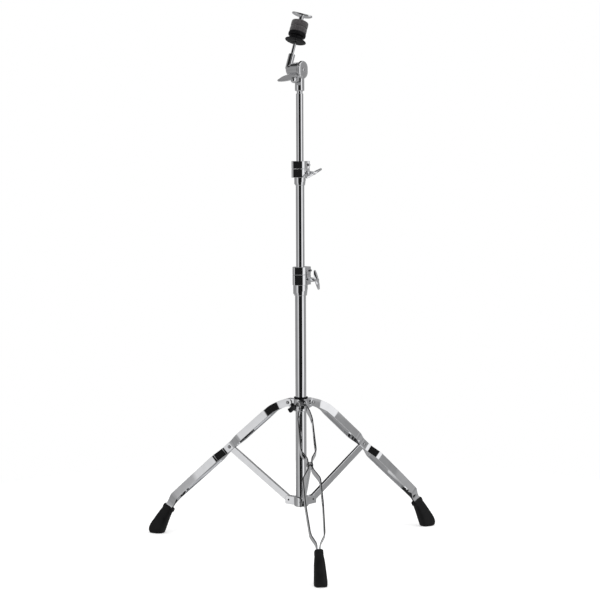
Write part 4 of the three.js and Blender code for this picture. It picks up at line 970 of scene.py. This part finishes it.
def makeArm():
    start, radius, round = arm["eyeStart"], arm["eye"] / 2, arm["eyeRound"]
    end = start + arm["eyeThickness"]
    top = end + arm["eyeDome"]
    steps = arm["domeSteps"]
    dome = [(radius * (1 - (k / steps) ** arm["domePower"]) ** arm["domeRound"], end + arm["eyeDome"] * k / steps)
            for k in range(steps - 1, 0, -1)]
    eye = moved(revolved([(0, top), *dome, (radius, end), (radius, start + round), (radius - round, start),
                          (0, start)], fineRound), spun(-90, "X"))
    shaft = rod((0, -arm["shaftStart"], 0), (0, end, 0), arm["shaft"] / 2, plainRound)
    post, length = arm["post"] / 2, arm["postLength"]
    foot = [(x, y + post * (1 - arm["footDrop"])) for x, y in arc(0, 0, post, -90, 0, 10)[1:]]
    rim = [(post - inset, length - drop) for inset, drop in arm["rim"]]
    column = revolved([(0, -arm["footDrop"] * post), *foot, *rim, (0, length)])
    column.transform(shifted(y=arm["postOffset"]))
    hole = rod((0, arm["postOffset"], length / 2), (0, arm["postOffset"], length + overrun), arm["rod"] / 2 + clearance)
    piece("tilterArm", shaped([eye, shaft, column], [hole]), armPlace, "chrome", ["tilter_arm"])

    seat = tilter["right"] + tilter["headThickness"] / 2 + clearance
    shank, head, socket = shaftScrew["shank"], shaftScrew["head"], seat + shaftScrew["socketRise"]
    cap = [(shank, shaftScrew["end"]), (shank, seat), (head, seat),
           *[(radius, seat + rise) for radius, rise in shaftScrew["crown"]]]
    screw = shaped([lathed(cap, shaftScrew["round"], smallRound)],
                   [prism(hexagon(shaftScrew["socket"]), socket, socket + overrun)])
    piece("shaftScrew", moved(screw, alongY), armPlace, "chrome", ["tilter_shaft_screw"])


lever = {"thickness": 6, "boss": 16, "bossLength": 12, "bossRound": 1.5, "boltIn": 6, "bladeOffset": 5,
         "bladeRound": 6, "bladeBevel": 2.4, "bossShares": [(1, 0), (1, 0.5), (0.8, 0.85), (0.5, 1)],
         "outline": [  # along the blade, up from the bolt
             (-9.5, 5), (-9.5, 13.5), (5, 14.6), (17, 14.4), (28, 13), (40, 9.6), (50, 5), (56.5, 1.6), (53.5, -2.4),
             (44, -2.9), (32, -2.8), (17, -1.4), (5, 0.5)]}


def makeLever():
    face = -tilter["jawOffset"] - tilter["jawThickness"] - clearance
    bolt = rod((tilter["neck"] / 4 - clearance, 0, 0), (face - lever["boltIn"], 0, 0), tilter["bolt"] / 2)
    radius, length, thick = lever["boss"] / 2, lever["bossLength"], lever["thickness"] / 2
    boss = moved(lathed([(wide * radius, far * length) for wide, far in lever["bossShares"]], lever["bossRound"]),
                 shifted(face) @ spun(-90, "Y"))
    blade = moved(prism(softened(lever["outline"], lever["bladeRound"], 6), -thick, thick, lever["bladeBevel"], 6),
                  shifted(face - lever["bladeOffset"]) @ spun(90) @ spun(90, "X"))
    piece("tilterLever", shaped([boss, blade, bolt]), placed(tilter["turn"], (0, 0, tilter["leverHeight"])), "chrome",
          ["tilter_lever"])


makeHousing()
makeArm()
makeLever()
print("tilter made")


# ---- rod, seat, felts and wing nut

stackPlace = armPlace @ shifted(y=arm["postOffset"])
stack = {"rodTop": 157.9, "seatBottom": 81, "seatHeight": 23.5, "flange": 55.5, "flangeHeight": 4, "cup": 46,
         "cupHeight": 11, "sleeve": 12, "seatRound": 1.4, "felt": 44, "feltHole": 14, "lowerFelt": 14.6,
         "upperFelt": 16.4, "feltRound": 1.6, "topRound": 3.2, "bulge": 0.35, "holeRound": 0.8,
         "neckShare": 0.78, "lipShare": 0.96, "lipDrop": 2}
flangeShares = [(0.45, -0.8), (0.96, 0.8), (1, 1.5), (0.97, 2.8), (0.8, 3.4)]  # of its radius, above its foot
cupShares = [(0.8, -0.5), (0.97, 2), (1, 5)]  # of its radius, above its foot
nut = {"span": 54, "width": 25, "plate": 4, "stem": 12.5, "stemHeight": 15.5, "dome": 1.6, "turn": -48, "play": 0.25,
       "round": 0.8, "sweep": 0.6, "spanInset": 0.35, "widthInset": 0.6, "flare": 1, "flareRise": 2, "crownShare": 1.3,
       "tipShare": 0.6, "tipMore": 0.6}
nutRim = [(0.25, 0), (0.1, 0.15), (0.02, 0.9)]  # inset, way in from the plate's face
thread = {"pitch": 1.25, "depth": 0.5, "length": 58, "sides": 40, "rows": 370, "end": 0.8, "endDrop": 0.9, "foot": 0.01}
cupTop = stack["seatBottom"] + stack["seatHeight"]
feltTop = cupTop + 2 * clearance + stack["lowerFelt"] + stack["upperFelt"]


def makeRod():
    radius, top = arm["rod"] / 2, stack["rodTop"]
    bottom = arm["postLength"] / 2 + clearance
    start = top - thread["length"]
    run = (top - thread["end"] - start) / thread["rows"]
    rings = []
    for height in [bottom, bottom + thread["foot"]] + [start + run * k for k in range(thread["rows"] + 1)] + [top]:
        ring = []
        for j in range(thread["sides"]):
            angle = 2 * math.pi * j / thread["sides"]
            phase = ((height - start) / thread["pitch"] - j / thread["sides"]) % 1
            fade = min(max((height - start) / thread["pitch"], 0), 1)
            reach = radius - thread["depth"] * fade * abs(2 * phase - 1)
            if height == top:
                reach = radius - thread["endDrop"]
            ring.append((reach * math.cos(angle), reach * math.sin(angle), height))
        rings.append(ring)
    piece("cymbalRod", skinned(rings), stackPlace, "chrome", ["cymbal_rod"], 60)


def makeSeat():
    bore = arm["rod"] / 2 + clearance
    rim, cup, sleeve, bottom = stack["flange"] / 2, stack["cup"] / 2, stack["sleeve"] / 2, stack["seatBottom"]
    cupBottom = cupTop - stack["cupHeight"]
    waist = (cupBottom + bottom + stack["flangeHeight"]) / 2
    sleeveTop = feltTop - stack["upperFelt"] / 3
    profile = [(bore, bottom), *[(rim * share, bottom + rise) for share, rise in flangeShares],
               (stack["neckShare"] * cup, waist),
               *[(cup * share, cupBottom + rise) for share, rise in cupShares], (cup, cupTop - stack["lipDrop"]),
               (stack["lipShare"] * cup, cupTop), (sleeve, cupTop), (sleeve, sleeveTop), (bore, sleeveTop)]
    piece("cymbalSeat", revolved(softened(profile, stack["seatRound"], 5), fineRound, closed=True), stackPlace, "nylon",
          ["cymbal_seat"])


def makeFelts():
    bottom, low, lip = cupTop + clearance, stack["feltRound"], stack["holeRound"]
    outer, hole = stack["felt"] / 2, stack["feltHole"] / 2
    for name, node, high in (("lowerFelt", "lower_felt", low), ("upperFelt", "upper_felt", stack["topRound"])):
        top = bottom + stack[name]
        waist = (outer, (bottom + top) / 2)
        under = softened([(hole, bottom), (outer, bottom), waist], low, 5, False)[1:-1]
        over = softened([waist, (outer, top), (hole, top)], high, 7, False)[1:-1]
        rise = top - high - bottom - low
        bulge = [(outer + stack["bulge"] * math.sin(math.pi * k / 8), bottom + low + rise * k / 8) for k in range(1, 8)]
        profile = [(hole, bottom + lip), (hole + lip, bottom), *under, *bulge, *over, (hole + lip, top),
                   (hole, top - lip)]
        piece(name, revolved(profile, fineRound, closed=True), stackPlace, "felt", [node], 70)
        bottom = top + clearance


def makeWingNut():
    bottom = feltTop + clearance
    low = bottom + nut["stemHeight"]
    high = low + nut["plate"]
    top = high + nut["dome"]
    stem, span, width = nut["stem"] / 2, nut["span"] / 2, nut["width"] / 2
    post = lathed([(stem + nut["flare"], bottom), (stem, bottom + nut["flareRise"]), (stem, low),
                   (nut["crownShare"] * stem, high), (stem, top - nut["dome"] / 4),
                   (nut["tipShare"] * stem + nut["tipMore"], top)], nut["round"])
    turns = [2 * math.pi * k / plainRound for k in range(plainRound)]
    oval = [(math.cos(turn), math.sin(turn)) for turn in turns]
    levels = [(inset, low + way) for inset, way in nutRim] + [(0, (low + high) / 2)]
    levels += [(inset, high - way) for inset, way in reversed(nutRim)]
    rings = [[(x * span * (1 - inset * nut["spanInset"]), y * width * (1 - inset * nut["widthInset"]),
               height + nut["sweep"] * nut["plate"] * x ** 2) for x, y in oval] for inset, height in levels]
    hole = upright(bottom - overrun, stack["rodTop"] + overrun, arm["rod"] + 2 * nut["play"])
    piece("wingNut", shaped([skinned(rings), post], [hole]), stackPlace @ spun(nut["turn"]), "chrome", ["wing_nut"])


makeRod()
makeSeat()
makeFelts()
makeWingNut()
print("rod, seat, felts and wing nut made")


# ---- small CAD pieces that stay as they are

for node, finish in (("collar_roll_pin", "brightSteel"), ("lower_clamp_nut", "brightSteel"),
                     ("upper_clamp_nut", "brightSteel"), ("tilter_brake_sleeve", "nylon")):
    nodes[node].data.materials.clear()
    nodes[node].data.materials.append(finishes[finish])


# ---- camera, floor and light

view = {"fromAxis": 4.3797, "height": 0.98654, "turn": 5.99, "aim": 5.973, "pitch": 4.469, "roll": -0.24,
        "lens": 102.03, "sensor": 36, "clip": 50}


def makeCamera():
    data = bpy.data.cameras.new("camera")
    data.lens, data.sensor_width, data.clip_end = view["lens"], view["sensor"], view["clip"]
    item = linked(data, "camera")
    turn = math.radians(view["turn"])
    item.location = axis + Vector((-math.sin(turn), -math.cos(turn), 0)) * view["fromAxis"] + Vector(
        (0, 0, view["height"]))
    look = spun(-view["aim"]) @ spun(90 - view["pitch"], "X") @ spun(view["roll"])
    item.rotation_euler = look.to_euler()
    scene.camera = item


# What the chrome sees, band by band of the ray's rise: (bearing from the camera to the viewer's right, level)
bands = {
    "low": {"over": (-0.72, -0.62), "stops": [
        (-180, 0.26), (-165, 0.35), (-140, 0.36), (-118, 0.32), (-90, 0.28), (-78, 0.34), (-60, 0.37), (-56, 0.45),
        (-52, 0.72), (-41, 0.77), (-38, 0.4), (-35, 0.012), (29, 0.012), (34, 0.95), (58, 0.98), (62, 0.45), (70, 0.32),
        (76, 0.29), (80, 0.38), (88, 0.4), (95, 0.27), (125, 0.36), (150, 0.4), (180, 0.26)]},
    "high": {"over": (-0.135, -0.12), "stops": [
        (-180, 0.3), (-118, 0.29), (-100, 0.27), (-84, 0.27), (-72, 0.38), (-60, 0.55), (-46, 0.72), (-39, 0.74),
        (-36, 0.012), (33, 0.012), (37, 0.92), (70, 0.94), (74, 0.33), (90, 0.29), (125, 0.34), (180, 0.3)]},
    "crown": {"over": (0.26, 0.29), "stops": [
        (-180, 0.15), (-150, 0.18), (-135, 0.25), (-115, 0.3), (-70, 0.3), (-55, 0.6), (-20, 0.75), (-17, 0.012),
        (46, 0.012), (50, 0.9), (70, 0.8), (80, 0.3), (150, 0.3), (180, 0.15)]},
    "loft": {"over": (0.5, 0.54), "stops": [
        (-180, 0.5), (-170, 0.85), (-153, 0.85), (-148, 0.02), (-112, 0.02), (-104, 0.2), (-92, 0.25), (-84, 0.02),
        (12, 0.012), (16, 0.9), (95, 0.85), (105, 0.35), (150, 0.35), (180, 0.5)]},
    "zenith": {"over": (0.77, 0.86), "stops": [(-180, 0.03), (180, 0.03)]},
}
groundLevel = 0.38
plainLevel = 0.55  # the world's light on what isn't metal
coolness = 1.01  # of the chrome's surroundings


def rampOf(tree, factor, stops):
    ramp = tree.add("ShaderNodeValToRGB", {"Fac": factor})
    marks = ramp.color_ramp.elements
    for i, (angle, level) in enumerate(stops):
        place = (angle + 180) / 360
        mark = marks[i] if i < 2 else marks.new(place)
        mark.position = place
        mark.color = (level, level, level * coolness, 1)
    return ramp.outputs["Color"]


def makeWorld():
    world = bpy.data.worlds.new("studio")
    scene.world = world
    world.use_nodes = True
    world.node_tree.nodes.clear()
    tree = Tree(world.node_tree)
    turned = tree.add("ShaderNodeVectorRotate", {"Vector": tree.add("ShaderNodeTexCoord").outputs["Generated"],
                                                 "Angle": math.radians(view["turn"])}, rotation_type="Z_AXIS")
    parts = tree.add("ShaderNodeSeparateXYZ", {"Vector": turned.outputs["Vector"]}).outputs
    bearing = tree.maths("ARCTAN2", parts["X"], tree.maths("MULTIPLY", parts["Y"], -1.0))
    place = tree.spread(bearing, 0, 1, -math.pi, math.pi)
    sky = (groundLevel, groundLevel, groundLevel)
    for band in bands.values():
        sky = tree.between(tree.spread(parts["Z"], 0, 1, *band["over"]), sky, rampOf(tree, place, band["stops"]))
    ray = tree.add("ShaderNodeLightPath").outputs

    def glow(colour, strength=1.0):
        return tree.add("ShaderNodeBackground", {"Color": colour, "Strength": strength}).outputs[0]

    def chosen(which, otherwise, seen):
        return tree.add("ShaderNodeMixShader", {"Fac": ray[which], 1: otherwise, 2: seen}).outputs[0]

    inMetal = chosen("Is Glossy Ray", glow((1, 1, 1, 1), plainLevel), glow(sky))
    tree.add("ShaderNodeOutputWorld", {"Surface": chosen("Is Camera Ray", inMetal, glow((1, 1, 1, 1)))})


lampAim = 0.7  # the height the lamps look at, in metres
paleFloor = {"radius": 1.3, "top": -0.001, "bottom": -0.006, "colour": 0.82, "glow": 0.42}


def makeFloor():
    mesh = upright(paleFloor["bottom"], paleFloor["top"], 2 * paleFloor["radius"])
    mesh.transform(Matrix.Translation(axis))
    look = Finish("paleFloor", Base_Color=(*[paleFloor["colour"]] * 3, 1), Roughness=0.9, Specular_IOR_Level=0.0,
                  Emission_Color=(1, 1, 1, 1))
    seen = look.add("ShaderNodeLightPath").outputs["Is Camera Ray"]
    mesh.materials.append(look.coat(Emission_Strength=look.maths("MULTIPLY", seen, paleFloor["glow"])))
    floor = linked(mesh, "floor")
    floor.visible_glossy = False


lamps = {
    "leftBox": {"at": (-2.2, -2.2, 2.3), "size": 1.6, "power": 34},
    "rightBox": {"at": (2.4, -1.6, 2.0), "size": 1.4, "power": 26},
    "topBox": {"at": (0.2, -0.4, 3.0), "size": 1.8, "power": 22},
}


def makeLamps():
    middle = axis + Vector((0, 0, lampAim))
    for name, lamp in lamps.items():
        data = bpy.data.lights.new(name, "AREA")
        data.energy, data.size = lamp["power"], lamp["size"]
        item = linked(data, name)
        item.location = lamp["at"]
        item.rotation_euler = (middle - Vector(lamp["at"])).to_track_quat("-Z", "Y").to_euler()
        item.visible_glossy = False


makeCamera()
makeWorld()
makeFloor()
makeLamps()
scene.view_settings.view_transform = "Standard"
print("camera, floor and light made")
